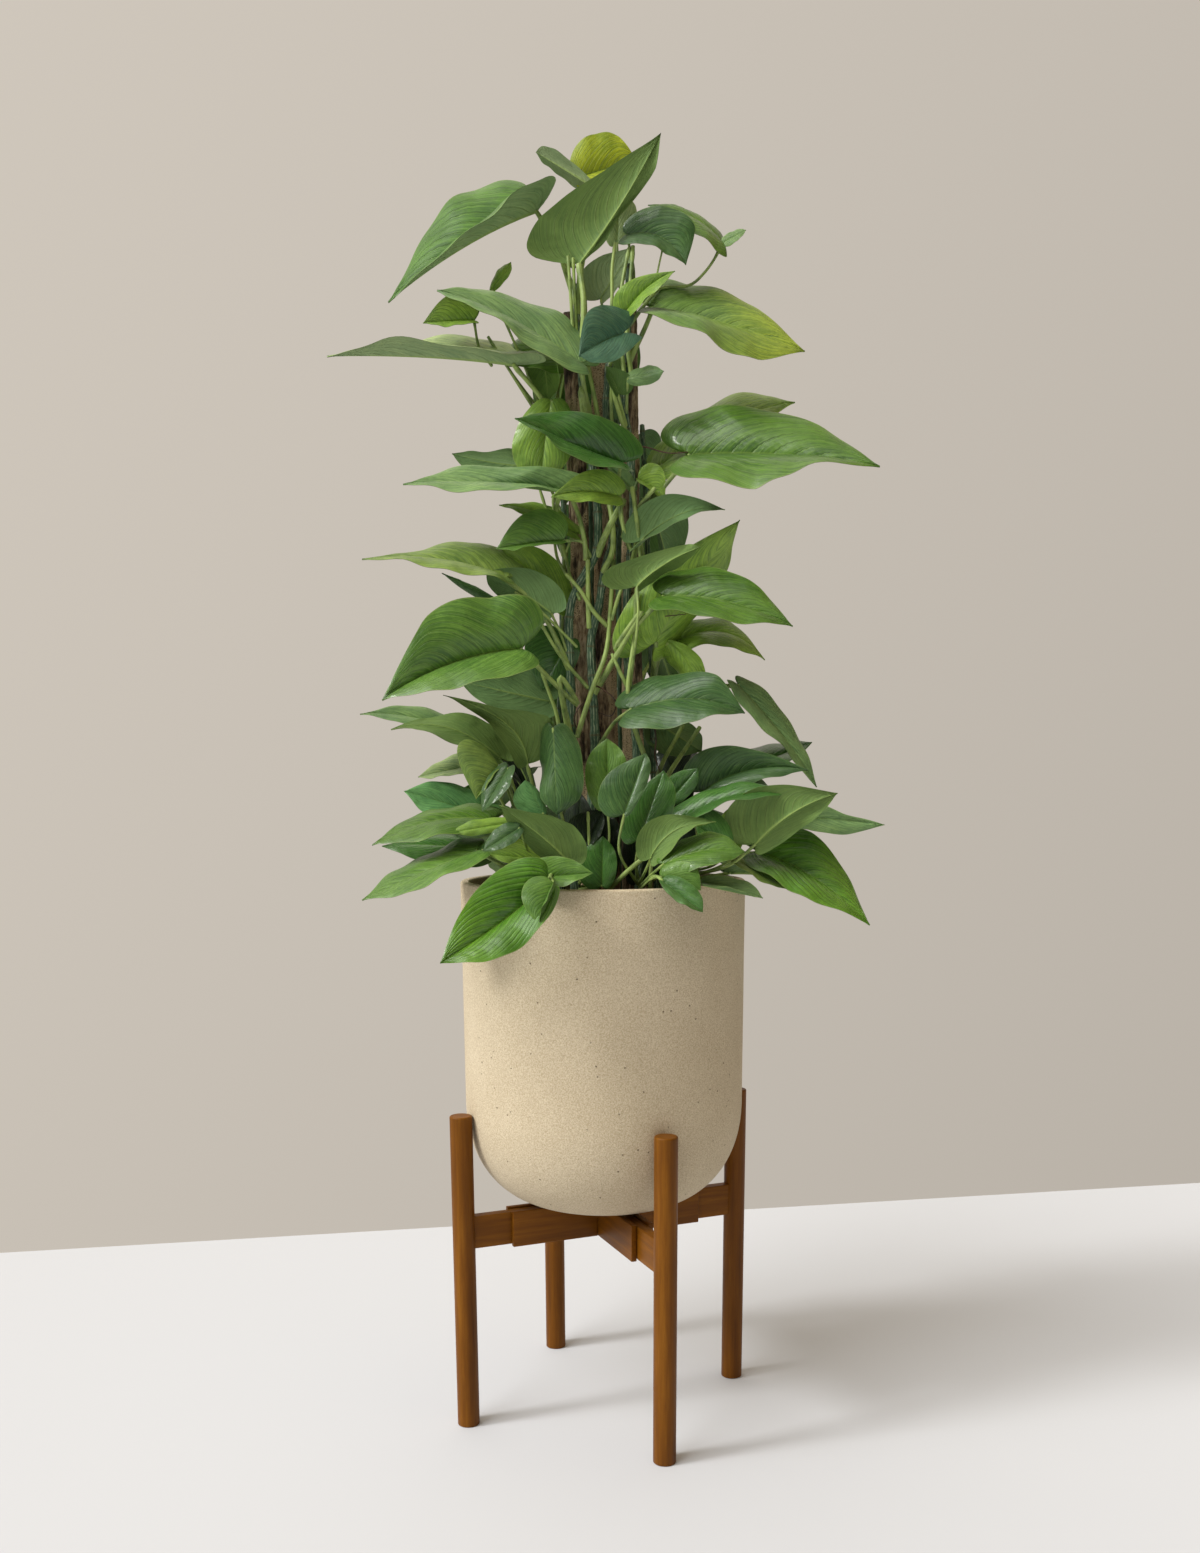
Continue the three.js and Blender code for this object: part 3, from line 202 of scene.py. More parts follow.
class NodeSheet:
    """A node sheet, for a material with its one surface shader unless a tree is given."""

    def __init__(self, name: str, tree: Optional[bpy.types.NodeTree] = None) -> None:
        """Starts the material.

        Args:
            name: The material's name.
            tree: A node tree that is already there, such as the world's.
        """
        self.tree = tree
        if tree is None:
            self.material = bpy.data.materials.new(name)
            self.material.use_nodes = True
            self.tree = self.material.node_tree
            self.shader = self.tree.nodes["Principled BSDF"]

    def node(self, kind: str, settings: Optional[Dict[str, object]] = None,
             feeds: Optional[Dict[Union[int, str], Feed]] = None, output: Union[int, str] = 0) -> Wire:
        """Makes any node.

        Args:
            kind: The node's type.
            settings: What is set on the node first. "stops" are a ramp's positions and colours.
            feeds: The values or links of its sockets.
            output: Which output the wire is on.

        Returns:
            That output.
        """
        made = self.tree.nodes.new(kind)
        for key, value in (settings or {}).items():
            if key == "stops":
                self.set_stops(made, value)
            else:
                setattr(made, key, value)
        for key, value in (feeds or {}).items():
            self.feed(made.inputs[key], value)
        return Wire(self, made.outputs[output])

    def set_stops(self, ramp: bpy.types.Node, stops: Shades) -> None:
        """Sets a ramp's stops.

        Args:
            ramp: The colour ramp node.
            stops: Each stop's position and colour.
        """
        elements = ramp.color_ramp.elements
        while len(elements) < len(stops):
            elements.new(1.0)
        for element, (position, tint) in zip(elements, stops):
            element.position = position
            element.color = tint

    def feed(self, socket: bpy.types.NodeSocket, value: Feed) -> None:
        """Links a wire to a socket, or sets its value.

        Args:
            socket: The input socket.
            value: The wire or the value.
        """
        if isinstance(value, Wire):
            self.tree.links.new(value.socket, socket)
        else:
            socket.default_value = value

    def stored(self, name: str, output: str = "Vector") -> Wire:
        """A value that the mesh keeps at each point."""
        return self.node("ShaderNodeAttribute", {"attribute_name": name}, output=output)

    def split(self, vector: Wire) -> Tuple[Wire, ...]:
        """A vector's three numbers."""
        parts = self.node("ShaderNodeSeparateXYZ", feeds={0: vector}).socket.node
        return tuple(Wire(self, output) for output in parts.outputs)

    def joined(self, *numbers: Feed) -> Wire:
        """A vector of three numbers."""
        return self.node("ShaderNodeCombineXYZ", feeds=dict(enumerate(numbers)))

    def stretched(self, vector: Wire, scale: Triple) -> Wire:
        """A place scaled along each axis."""
        return self.node("ShaderNodeVectorMath", {"operation": "MULTIPLY"}, {0: vector, 1: scale})

    def mixed(self, share: Feed, first: Feed, second: Feed) -> Wire:
        """A colour between two, with a share of the second."""
        return self.node("ShaderNodeMix", {"data_type": "RGBA"}, {0: share, 6: first, 7: second}, output=2)

    def tinted(self, tone: Wire, share: Colour) -> Wire:
        """A colour with each channel multiplied."""
        return self.node("ShaderNodeMix", {"data_type": "RGBA", "blend_type": "MULTIPLY"},
                         {0: 1.0, 6: tone, 7: share}, output=2)

    def layered(self, base: Feed, *layers: Tuple[Wire, Feed]) -> Feed:
        """A colour with others laid over it in turn.

        Args:
            base: The colour underneath.
            layers: Each layer's mask and colour.

        Returns:
            The colour on top.
        """
        for mask, tint in layers:
            base = mask.between(base, tint)
        return base

    def place(self) -> Wire:
        """The place on the object, in metres."""
        return self.node("ShaderNodeTexCoord", output="Object")

    def grain(self, place: Wire, scale: float, detail: float = 3.0, rough: float = 0.5) -> Wire:
        """Cloudy noise from about 0.2 to 0.8."""
        return self.node("ShaderNodeTexNoise", feeds={
            "Vector": place, "Scale": scale, "Detail": detail, "Roughness": rough})

    def cells(self, place: Wire, scale: float) -> Wire:
        """The distance to scattered points."""
        return self.node("ShaderNodeTexVoronoi", {"feature": "F1"}, {"Vector": place, "Scale": scale},
                         output="Distance")

    def ramp(self, share: Wire, stops: Shades) -> Wire:
        """A colour from a ramp."""
        return self.node("ShaderNodeValToRGB", {"stops": stops}, {0: share}, output="Color")

    def relief(self, height: Wire, depth: float, strength: float) -> Wire:
        """A bump from a height, where 1 is a depth in metres."""
        feeds = {"Height": height, "Distance": depth, "Strength": strength}
        return self.node("ShaderNodeBump", feeds=feeds)

    def dress(self, **feeds: Feed) -> bpy.types.Material:
        """Sets the surface shader.

        Args:
            feeds: What each socket takes, by its name in words joined by underscores.

        Returns:
            The finished material.
        """
        for key, value in feeds.items():
            name = " ".join(word.upper() if word == "ior" else word.capitalize() for word in key.split("_"))
            self.feed(self.shader.inputs[name], value)
        return self.material


@dataclass(frozen=True)
class LeafFinish:
    """A leathery leaf: sunken side veins that sweep towards the tip, fine streaks between them, a pale
    midrib and margin, and a duller underside.

    A point's "blade" value is its share along the midrib, its share across and 1 on the underside. Its
    "trait" is the leaf's gloss, how pale its veins are and a number of the leaf's own.
    """

    name: str = "pothos_leaf"
    veins: float = 9.0
    slant: float = 0.72
    dark: Colour = (0.7, 0.74, 0.76, 1.0)
    bright: Colour = (2.0, 1.66, 1.5, 1.0)
    back_dark: Colour = (0.7, 0.76, 0.74, 1.0)
    back_bright: Colour = (1.24, 1.18, 1.12, 1.0)
    vein_paint: Colour = colour(150, 178, 104)
    hair_paint: Colour = colour(146, 172, 104)
    rib_paint: Colour = colour(142, 168, 84)
    margin_paint: Colour = colour(160, 176, 104)
    back_vein_paint: Colour = colour(150, 170, 106)
    back_rib_paint: Colour = colour(148, 172, 90)
    relief: float = 0.0011

    def material(self) -> bpy.types.Material:
        """The leaf's material.

        Returns:
            The material.
        """
        sheet = NodeSheet(self.name)
        along, across, under = sheet.split(sheet.stored("blade"))
        gloss, pale, own = sheet.split(sheet.stored("trait"))
        tone = sheet.stored("tone", "Color")
        place = sheet.place()
        side = abs(across)
        sweep = along - side * (side + 1) * (self.slant / 2)
        gap = abs((sweep * self.veins + own).fraction() - 0.5)
        open_field = 1 - side.step(0.7, 1.0)
        vein = gap.step(0.43, 0.5) * open_field * side.step(0.0, 0.06)
        furrow = gap.step(0.16, 0.48) * open_field
        streak = sheet.grain(sheet.joined(sweep * 34, across * 1.6, own * 40), 1.6, 3.0, 0.6)
        hair = sheet.grain(sheet.joined(sweep * 120, across * 2.2, own * 40), 1.2, 2.0, 0.5)
        rib = 1 - (side / (0.055 - along * 0.036)).step(0.35, 1.0)
        margin = side.step(0.97, 0.995)
        mottle = sheet.grain(place, 240.0, 3.0)
        shade = (sheet.grain(place, 30.0, 4.0) * 0.6 + streak * 1.0 + hair * 0.6 + mottle * 0.2) / 2.4
        dark = sheet.tinted(tone, self.dark)
        front = sheet.layered(
            shade.step(0.38, 0.62).between(dark, sheet.tinted(tone, self.bright)),
            # painted shade: the furrows beside the sunken side veins are darkened
            (furrow * 0.16, dark),
            (vein * (pale * 0.42), self.vein_paint),
            (hair.step(0.54, 0.68) * 0.2, self.hair_paint),
            (rib * pale * 0.85, self.rib_paint),
            (margin * pale * 0.8, self.margin_paint))
        back = sheet.layered(
            shade.step(0.36, 0.64).between(sheet.tinted(tone, self.back_dark),
                                           sheet.tinted(tone, self.back_bright)),
            (vein * 0.42, self.back_vein_paint),
            (rib * 0.6, self.back_rib_paint))
        rough = under * 0.16 + (1 - gloss) * 0.26 + mottle * 0.16 + 0.2
        swell = 1 - vein * 0.7 - furrow * (gloss.step(0.9, 0.95) * 0.35 + 0.1)
        height = swell * (1 - under * 2.0) + streak * 0.4 + mottle * 0.2
        return sheet.dress(
            base_color=under.between(front, back), roughness=rough,
            normal=sheet.relief(height, self.relief, 0.7),
            coat_weight=gloss * (1 - under) * 0.46, coat_roughness=0.19, specular_ior_level=0.22)


@dataclass(frozen=True)
class StalkFinish:
    """A fleshy green stem or leaf stalk with fine lengthwise ribs, or a thin brown root.

    A point's "blade" value is its place along in centimetres, its turn round and the nearness of a
    joint. The first number of its "trait" is how strong the ribs are.
    """

    name: str = "pothos_stalk"
    # pale: the colour of the rib crests, partly the stalk's own pale streaks and partly painted highlight
    pale: Colour = colour(200, 212, 176)
    dark: Colour = (0.36, 0.42, 0.42, 1.0)
    joint_paint: Colour = colour(96, 82, 50)
    ribs: float = 9.0
    relief: float = 0.0006

    def material(self) -> bpy.types.Material:
        """The stalk's material.

        Returns:
            The material.
        """
        sheet = NodeSheet(self.name)
        _, turn, joint = sheet.split(sheet.stored("blade"))
        strong = sheet.split(sheet.stored("trait"))[0]
        tone = sheet.stored("tone", "Color")
        place = sheet.place()
        wander = sheet.grain(place, 60.0, 2.0) * 0.8
        ribs = abs((turn * self.ribs + wander).fraction() - 0.5).step(0.12, 0.42)
        cloud = sheet.grain(place, 70.0, 4.0)
        fleck = sheet.grain(sheet.stretched(place, (1.0, 1.0, 0.22)), 700.0, 3.0, 0.6)
        skin = sheet.layered(
            sheet.tinted(tone, self.dark),
            (cloud.step(0.3, 0.6) * (1 - strong * 0.6), tone),
            # the raised rib crests are painted pale: partly own pale streaks, partly painted highlight
            (ribs * strong * fleck.step(0.4, 0.6), sheet.mixed(0.6, tone, self.pale)),
            (joint.step(0.5, 1.0) * 0.7, self.joint_paint))
        return sheet.dress(base_color=skin, roughness=cloud * 0.25 + 0.36, specular_ior_level=0.4,
                           normal=sheet.relief(ribs * strong + fleck * 0.35, self.relief, 0.6))


@dataclass(frozen=True)
class BarkFinish:
    """Rough grey-brown bark with pale flakes, deep lengthwise cracks and worn tan patches.

    The third number of a point's "blade" value is the height of the stake's own relief.
    """

    name: str = "stake_bark"
    shades: Shades = ((0.38, colour(24, 20, 17)), (0.46, colour(88, 74, 58)), (0.54, colour(148, 126, 98)),
                      (0.66, colour(214, 194, 158)))
    grey: Colour = colour(92, 88, 74)
    # gap and crack are painted shade: the gaps between plates and the deep cracks drawn near black
    gap: Colour = colour(30, 25, 21)
    crack: Colour = colour(16, 12, 10)
    worn: Colour = colour(214, 192, 150)
    relief: float = 0.0026

    def material(self) -> bpy.types.Material:
        """The bark's material.

        Returns:
            The material.
        """
        sheet = NodeSheet(self.name)
        height = sheet.split(sheet.stored("blade"))[2]
        place = sheet.place()
        long = sheet.stretched(place, (1.0, 1.0, 0.2))
        strand = sheet.grain(long, 420.0, 6.0, 0.7)
        plate = sheet.grain(long, 75.0, 4.0, 0.6)
        crumb = sheet.grain(place, 1000.0, 3.0, 0.7)
        patch = sheet.grain(sheet.stretched(place, (1.0, 1.0, 0.6)), 21.0, 3.0, 0.5)
        skin = sheet.layered(
            # the ramp is also darker where the stake's relief is low: painted shade
            sheet.ramp(strand * 0.6 + plate * 0.25 + height * 0.2, self.shades),
            (plate.step(0.58, 0.68) * 0.3, self.grey),
            # painted shade: the gaps between plates are darkened
            (plate.step(0.48, 0.4) * 0.7, self.gap),
            # painted shade: the cracks, where the stake's own relief is low, are painted near black
            (height.step(0.36, 0.1) * 0.9, self.crack),
            (patch.step(0.5, 0.54) * crumb.step(0.42, 0.52) * 0.9, self.worn))
        return sheet.dress(base_color=skin, roughness=crumb * 0.15 + 0.8, specular_ior_level=0.2,
                           normal=sheet.relief(strand * 0.8 + crumb * 0.4, self.relief, 1.0))


@dataclass(frozen=True)
class SoilFinish:
    """Dark potting soil with fibres and a few pale grains."""

    name: str = "potting_soil"
    shades: Shades = ((0.35, colour(20, 14, 10)), (0.5, colour(50, 37, 27)), (0.68, colour(86, 66, 47)))
    grain: Colour = colour(158, 140, 112)
    relief: float = 0.003

    def material(self) -> bpy.types.Material:
        """The soil's material.

        Returns:
            The material.
        """
        sheet = NodeSheet(self.name)
        place = sheet.place()
        clod = sheet.grain(place, 110.0, 6.0, 0.7)
        crumb = sheet.grain(place, 700.0, 3.0, 0.6)
        skin = sheet.layered(sheet.ramp(clod * 0.6 + crumb * 0.4, self.shades),
                             (sheet.cells(place, 230.0).step(0.2, 0.12) * 0.5, self.grain))
        return sheet.dress(base_color=skin, roughness=crumb * 0.1 + 0.85, specular_ior_level=0.2,
                           normal=sheet.relief(clod + crumb * 0.6, self.relief, 0.9))


@dataclass(frozen=True)
class ClayFinish:
    """Unglazed cream stoneware with a sandy grain and small dark pits."""

    name: str = "cream_stoneware"
    shades: Shades = ((0.32, colour(190, 174, 145)), (0.5, colour(204, 189, 161)),
                      (0.68, colour(216, 202, 175)))
    dark_speck: Colour = colour(158, 134, 94)
    pale_speck: Colour = colour(234, 224, 196)
    fine_pit: Colour = colour(140, 116, 80)
    pit: Colour = colour(96, 76, 52)
    relief: float = 0.0012

    def material(self) -> bpy.types.Material:
        """The planter's material.

        Returns:
            The material.
        """
        sheet = NodeSheet(self.name)
        place = sheet.place()
        cloud = sheet.grain(place, 7.0, 4.0, 0.55)
        sand = sheet.grain(place, 520.0, 3.0, 0.7)
        speck = sheet.grain(place, 850.0, 2.0, 0.6)
        pit = sheet.cells(place, 105.0).step(0.11, 0.06) * sheet.grain(place, 61.0, 1.0).step(0.5, 0.56)
        fine_pit = sheet.cells(place, 260.0).step(0.12, 0.06) * sheet.grain(place, 83.0, 1.0).step(0.5, 0.6)
        skin = sheet.layered(
            sheet.ramp(cloud * 0.5 + sand * 0.5, self.shades),
            (speck.step(0.5, 0.6) * 0.36, self.dark_speck),
            (speck.step(0.48, 0.38) * 0.34, self.pale_speck),
            (fine_pit * 0.55, self.fine_pit),
            (pit * 0.8, self.pit))
        height = sand * 0.5 + speck * 0.3 - pit * 1.4 - fine_pit * 0.7
        return sheet.dress(base_color=skin, roughness=sand * 0.15 + 0.72, specular_ior_level=0.3,
                           normal=sheet.relief(height, self.relief, 0.8))


@dataclass(frozen=True)
class WoodFinish:
    """Honey-brown oiled wood with fine grain, pores and a soft sheen.

    A point's "blade" value is its place in the bar's own axes, length first, in metres.
    """

    name: str = "oiled_wood"
    shades: Shades = ((0.32, colour(88, 50, 6)), (0.5, colour(114, 68, 8)), (0.68, colour(138, 88, 18)))
    pore_paint: Colour = colour(80, 44, 16)
    relief: float = 0.0004

    def material(self) -> bpy.types.Material:
        """The wood's material.

        Returns:
            The material.
        """
        sheet = NodeSheet(self.name)
        bar = sheet.stored("blade")
        warp, rings, band, pore = (
            sheet.grain(sheet.stretched(bar, (length, 1.0, 1.0)), scale, detail, rough)
            for length, scale, detail, rough in ((0.35, 26.0, 3.0, 0.5), (0.05, 260.0, 5.0, 0.6),
                                                 (0.03, 75.0, 2.0, 0.5), (0.06, 1600.0, 2.0, 0.5)))
        skin = sheet.layered(sheet.ramp(rings * 0.45 + band * 0.35 + warp * 0.2, self.shades),
                             (pore.step(0.56, 0.72) * 0.25, self.pore_paint))
        return sheet.dress(base_color=skin, roughness=rings * 0.16 + 0.36,
                           normal=sheet.relief(rings * 0.5 - pore * 0.4, self.relief, 0.45),
                           coat_weight=0.03, coat_roughness=0.4, specular_ior_level=0.15)


@dataclass(frozen=True)
class StudioFinish:
    """A plain matt paint for the floor."""

    name: str
    paint: Colour

    def material(self) -> bpy.types.Material:
        """The paint's material."""
        return NodeSheet(self.name).dress(base_color=self.paint, roughness=0.9, specular_ior_level=0.1)


class Draft:
    """The points and faces of one piece as it is made, in millimetres, with what each point keeps."""

    def __init__(self) -> None:
        """Starts with nothing in it."""
        self.points: List[np.ndarray] = []
        self.blade: List[np.ndarray] = []
        self.trait: List[np.ndarray] = []
        self.tone: List[np.ndarray] = []
        self.faces: List[Tuple[int, ...]] = []
        self.skins: List[int] = []
        self.count = 0

    def add(self, points: np.ndarray, faces: Sequence[Sequence[int]], blade: Optional[np.ndarray] = None,
            trait: Triple = (0.0, 0.0, 0.0), tone: Sequence[float] = (1.0, 1.0, 1.0, 1.0),
            skin: int = 0) -> int:
        """Adds points and the faces between them.

        Args:
            points: The points, one a row.
            faces: Each face's corners, counted from this call's first point.
            blade: What the finish reads as its place, one row a point.
            trait: Three numbers that the whole of it keeps.
            tone: Its colour.
            skin: Which of the piece's materials it has.

        Returns:
            The number of its first point.
        """
        first = self.count
        flat = np.asarray(points, dtype=float).reshape(-1, 3)
        self.points.append(flat)
        self.blade.append(flat * METRE if blade is None else np.asarray(blade, dtype=float).reshape(-1, 3))
        self.trait.append(np.tile(np.array(trait, dtype=float), (len(flat), 1)))
        self.tone.append(np.broadcast_to(np.asarray(tone, dtype=float), (len(flat), 4)))
        self.faces.extend(tuple(first + corner for corner in face) for face in faces)
        self.skins.extend([skin] * len(faces))
        self.count += len(flat)
        return first

    def piece(self, name: str, materials: Sequence[bpy.types.Material], sharp: float = 50.0,
              weld: float = 0.02) -> bpy.types.Object:
        """Makes the Blender object.

        Args:
            name: The piece's name.
            materials: Its materials, in the order of the skins.
            sharp: Edges that turn by more than this many degrees are drawn sharp.
            weld: Points nearer than this, in millimetres, become one.

        Returns:
            The object, in the scene.
        """
        mesh = bpy.data.meshes.new(name)
        mesh.from_pydata((np.concatenate(self.points) * METRE).tolist(), [], self.faces)
        for key, kind, part, rows in (("blade", "FLOAT_VECTOR", "vector", self.blade),
                                      ("trait", "FLOAT_VECTOR", "vector", self.trait),
                                      ("tone", "FLOAT_COLOR", "color", self.tone)):
            kept = mesh.attributes.new(key, kind, "POINT")
            kept.data.foreach_set(part, np.concatenate(rows).ravel())
        mesh.polygons.foreach_set("material_index", self.skins)
        for material in materials:
            mesh.materials.append(material)
        if weld > 0:
            shape = bmesh.new()
            shape.from_mesh(mesh)
            bmesh.ops.remove_doubles(shape, verts=shape.verts, dist=weld * METRE)
            shape.to_mesh(mesh)
            shape.free()
        mesh.shade_smooth()
        mesh.set_sharp_from_angle(angle=math.radians(sharp))
        return placed(name, mesh)


def sheet_faces(rows: int, columns: int, closed: bool = False) -> List[Tuple[int, int, int, int]]:
    """The faces of a grid of points.

    Args:
        rows: How many rows of points.
        columns: How many points in a row.
        closed: Whether each row comes round to its first point.

    Returns:
        Each face's four corners.
    """
    faces = []
    for row in range(rows - 1):
        for column in range(columns if closed else columns - 1):
            beside = (column + 1) % columns
            a, b = row * columns + column, row * columns + beside
            faces.append((a, b, b + columns, a + columns))
    return faces


def turned(draft: Draft, profile: Sequence[Place], sides: int, centre: Place = (0.0, 0.0)) -> None:
    """Adds a profile turned about an upright axis, from its lowest point on the axis to its last.

    Args:
        draft: Where it goes.
        profile: Each ring's radius and height.
        sides: How many points round.
        centre: The axis.
    """
    rings = np.array(profile, dtype=float)
    angle = np.linspace(0, 2 * math.pi, sides, endpoint=False)
    points = np.empty((len(rings), sides, 3))
    points[..., 0] = centre[0] + rings[:, None, 0] * np.cos(angle)
    points[..., 1] = centre[1] + rings[:, None, 0] * np.sin(angle)
    points[..., 2] = rings[:, None, 1]
    draft.add(points, sheet_faces(len(rings), sides, closed=True))


class Course:
    """A smooth centripetal curve through points."""

    FINE = 12

    def __init__(self, points: Sequence[np.ndarray]) -> None:
        """Keeps the points that the curve runs through, with one more beyond each end.

        Args:
            points: The points.
        """
        given = [np.asarray(point, dtype=float) for point in points]
        self.spans = len(given) - 1
        self.points = [2 * given[0] - given[1], *given, 2 * given[-1] - given[-2]]

    def at(self, share: float) -> np.ndarray:
        """The place on the curve.

        Args:
            share: The share of the spans, from 0 to 1.

        Returns:
            The place.
        """
        reach = share * self.spans
        span = min(int(reach), self.spans - 1)
        weight = reach - span
        p0, p1, p2, p3 = self.points[span:span + 4]
        gap0, gap1, gap2 = (max(np.linalg.norm(b - a), 1e-8) ** 0.5
                            for a, b in ((p0, p1), (p1, p2), (p2, p3)))
        out = ((p1 - p0) / gap0 - (p2 - p0) / (gap0 + gap1) + (p2 - p1) / gap1) * gap1
        into = ((p2 - p1) / gap1 - (p3 - p1) / (gap1 + gap2) + (p3 - p2) / gap2) * gap1
        return (p1 + out * weight + (3 * (p2 - p1) - 2 * out - into) * weight ** 2
                + (2 * (p1 - p2) + out + into) * weight ** 3)

    def sampled(self, step: float) -> np.ndarray:
        """Points along the curve, evenly spaced.

        Args:
            step: About how far apart they are.

        Returns:
            The points, one a row.
        """
        fine = np.array([self.at(share) for share in np.linspace(0, 1, self.spans * self.FINE + 1)])
        reach = reaches(fine)
        count = max(3, int(reach[-1] / step) + 1)
        return between_rows(np.linspace(0, reach[-1], count), reach, fine)


def tube(draft: Draft, centres: np.ndarray, radii: np.ndarray, sides: int,
         joints: Optional[np.ndarray] = None, **looks: object) -> None:
    """Adds a round tube with rounded ends.

    Args:
        draft: Where it goes.
        centres: The points along its middle.
        radii: Its radius at each.
        sides: How many points round.
        joints: How near each point is to a joint, from 0 to 1.
        looks: What Draft.add takes besides.
    """
    along = unit(np.gradient(centres, axis=0))
    side = np.array([1.0, 0, 0])
    if abs(along[0] @ side) > 0.9:
        side = np.array([0, 1.0, 0])
    reach = reaches(centres)
    angle = np.linspace(0, 2 * math.pi, sides, endpoint=False)
    rows, places = [], []
    near = np.zeros(len(centres)) if joints is None else joints
    for index, (centre, way) in enumerate(zip(centres, along)):
        side = unit(side - way * (side @ way))
        other = np.cross(way, side)
        ring = np.cos(angle)[:, None] * side + np.sin(angle)[:, None] * other
        rows.append(centre + ring * radii[index])
        places.append(np.stack([np.full(sides, reach[index] / 10), angle / (2 * math.pi),
                                np.full(sides, near[index])], axis=1))
    for end, way in ((0, -1.0), (-1, 1.0)):
        cap = centres[end] + along[end] * way * radii[end] * 0.5
        rows.insert(0 if end == 0 else len(rows), np.tile(cap, (sides, 1)))
        places.insert(0 if end == 0 else len(places), places[0 if end == 0 else -1])
    draft.add(np.array(rows), sheet_faces(len(rows), sides, closed=True), blade=np.array(places), **looks)


@dataclass(frozen=True)
class Viewpoint:
    """The camera, also used to place leaves: a picture is 1200 by 1553."""

    back: float = 1409.7
    height: float = 667.0
    pitch: float = -0.2042
    yaw: float = 0.0027
    roll: float = -0.0051
    focal: float = 1368.4
    centre: Place = (600.0, 1066.25)
    picture: Place = (1200.0, 1553.0)
    sensor: float = 36.0

    def axes(self) -> Tuple[np.ndarray, np.ndarray, np.ndarray]:
        """The camera's directions.

        Returns:
            Right, up and forward.
        """
        forward = np.array([-math.sin(self.yaw) * math.cos(self.pitch),
                            math.cos(self.yaw) * math.cos(self.pitch), math.sin(self.pitch)])
        level = np.array([math.cos(self.yaw), math.sin(self.yaw), 0])
        upright = np.cross(level, forward)
        right = level * math.cos(self.roll) + upright * math.sin(self.roll)
        up = upright * math.cos(self.roll) - level * math.sin(self.roll)
        return right, up, forward

    def sight(self, point: Triple) -> np.ndarray:
        """The place that a picture point shows.

        Args:
            point: Its column, its row and its depth behind the planter's axis.

        Returns:
            The place.
        """
        right, up, forward = self.axes()
        column, row, depth = point
        ray = forward * self.focal + right * (column - self.centre[0]) + up * (self.centre[1] - row)
        return np.array([0, -self.back, self.height]) + ray * ((depth + self.back) / ray[1])

    def course(self, points: Sequence[Triple]) -> List[np.ndarray]:
        """The places that several picture points show."""
        return [self.sight(point) for point in points]

    def camera(self) -> None:
        """Makes the scene's camera."""
        lens = bpy.data.cameras.new("photo_view")
        lens.sensor_fit = "AUTO"
        lens.sensor_width = self.sensor
        lens.lens = self.sensor * self.focal / self.picture[1]
        lens.shift_y = (self.centre[1] - self.picture[1] / 2) / self.picture[1]
        lens.clip_start = 0.05
        lens.clip_end = 60
        made = placed("photo_view", lens)
        right, up, forward = self.axes()
        turn = Matrix((right, up, -forward)).transposed().to_4x4()
        made.matrix_world = Matrix.Translation(Vector((0, -self.back, self.height)) * METRE) @ turn
        bpy.context.scene.camera = made


VIEW = Viewpoint()


class Face(Enum):
    """Where a leaf's upper face looks."""

    VIEWER = (0.0, -1.0, 0.0)
    AWAY = (0.0, 1.0, 0.0)
    UP = (0.0, 0.0, 1.0)


UNDERSIDE = colour(112, 136, 84)


@dataclass(frozen=True)
class LeafLook:
    """A leaf's colour, gloss and paleness of veins, and its tip's and underside's colour if they differ."""

    tint: Colour
    gloss: float = 0.5
    pale: float = 0.4
    tip: Optional[Colour] = None
    back: Optional[Colour] = None

    def along(self, share: np.ndarray, under: bool) -> np.ndarray:
        """The colour of one face along the leaf.

        Args:
            share: The shares of the length that are asked for.
            under: Whether it is the lower face.

        Returns:
            The colours, one a row.
        """
        start, end = np.array(self.tint), np.array(self.tip or self.tint)
        if under:
            dull = np.array(self.back or UNDERSIDE)
            keep = 0.0 if self.back else 0.7
            start, end = start * keep + dull * (1 - keep), end * keep + dull * (1 - keep)
        blend = smooth(0.25, 0.95, share)[..., None]
        return (start * (1 - blend) + end * blend).reshape(-1, 4)


class Tone(Enum):
    """The leaf colours of this plant."""

    LIME = LeafLook(colour(140, 162, 36), 0.35, 0.7)
    TURNING = LeafLook(colour(84, 120, 54), 0.35, 0.5, colour(122, 146, 48))
    FRESH = LeafLook(colour(108, 148, 54), 0.4, 0.5, colour(116, 154, 66))
    BRIGHT = LeafLook(colour(66, 104, 32), 0.6, 0.4)
    MINT = LeafLook(colour(92, 148, 90), 0.5, 0.3)
    SILVER = LeafLook(colour(64, 108, 32), 0.35, 0.3, back=colour(140, 168, 116))
    VIVID = LeafLook(colour(66, 114, 30), 0.95, 0.35, colour(76, 122, 28))
    MID = LeafLook(colour(78, 118, 48), 0.6, 0.4)
    SAGE = LeafLook(colour(100, 136, 84), 0.3, 0.5)
    DEEP = LeafLook(colour(54, 98, 40), 0.9, 0.25)
    # painted shade: near-black leaves that stand for the shadowed depths of the plant
    DARK = LeafLook(colour(16, 34, 18), 0.3, 0.1)
    TEAL = LeafLook(colour(62, 104, 84), 0.45, 0.2)
    SLATE = LeafLook(colour(54, 88, 46), 0.5, 0.25)
    OLIVE = LeafLook(colour(102, 132, 62), 0.35, 0.45)
    PALE = LeafLook(colour(132, 160, 106), 0.2, 0.5, back=colour(144, 166, 120))


STEM_GREEN = colour(84, 118, 88)
STALK_GREEN = colour(164, 188, 100)
ROOT_BROWN = colour(84, 60, 42)
FAR_THEN_NEAR = (1, -1)
Pair = Tuple[Place, Place]


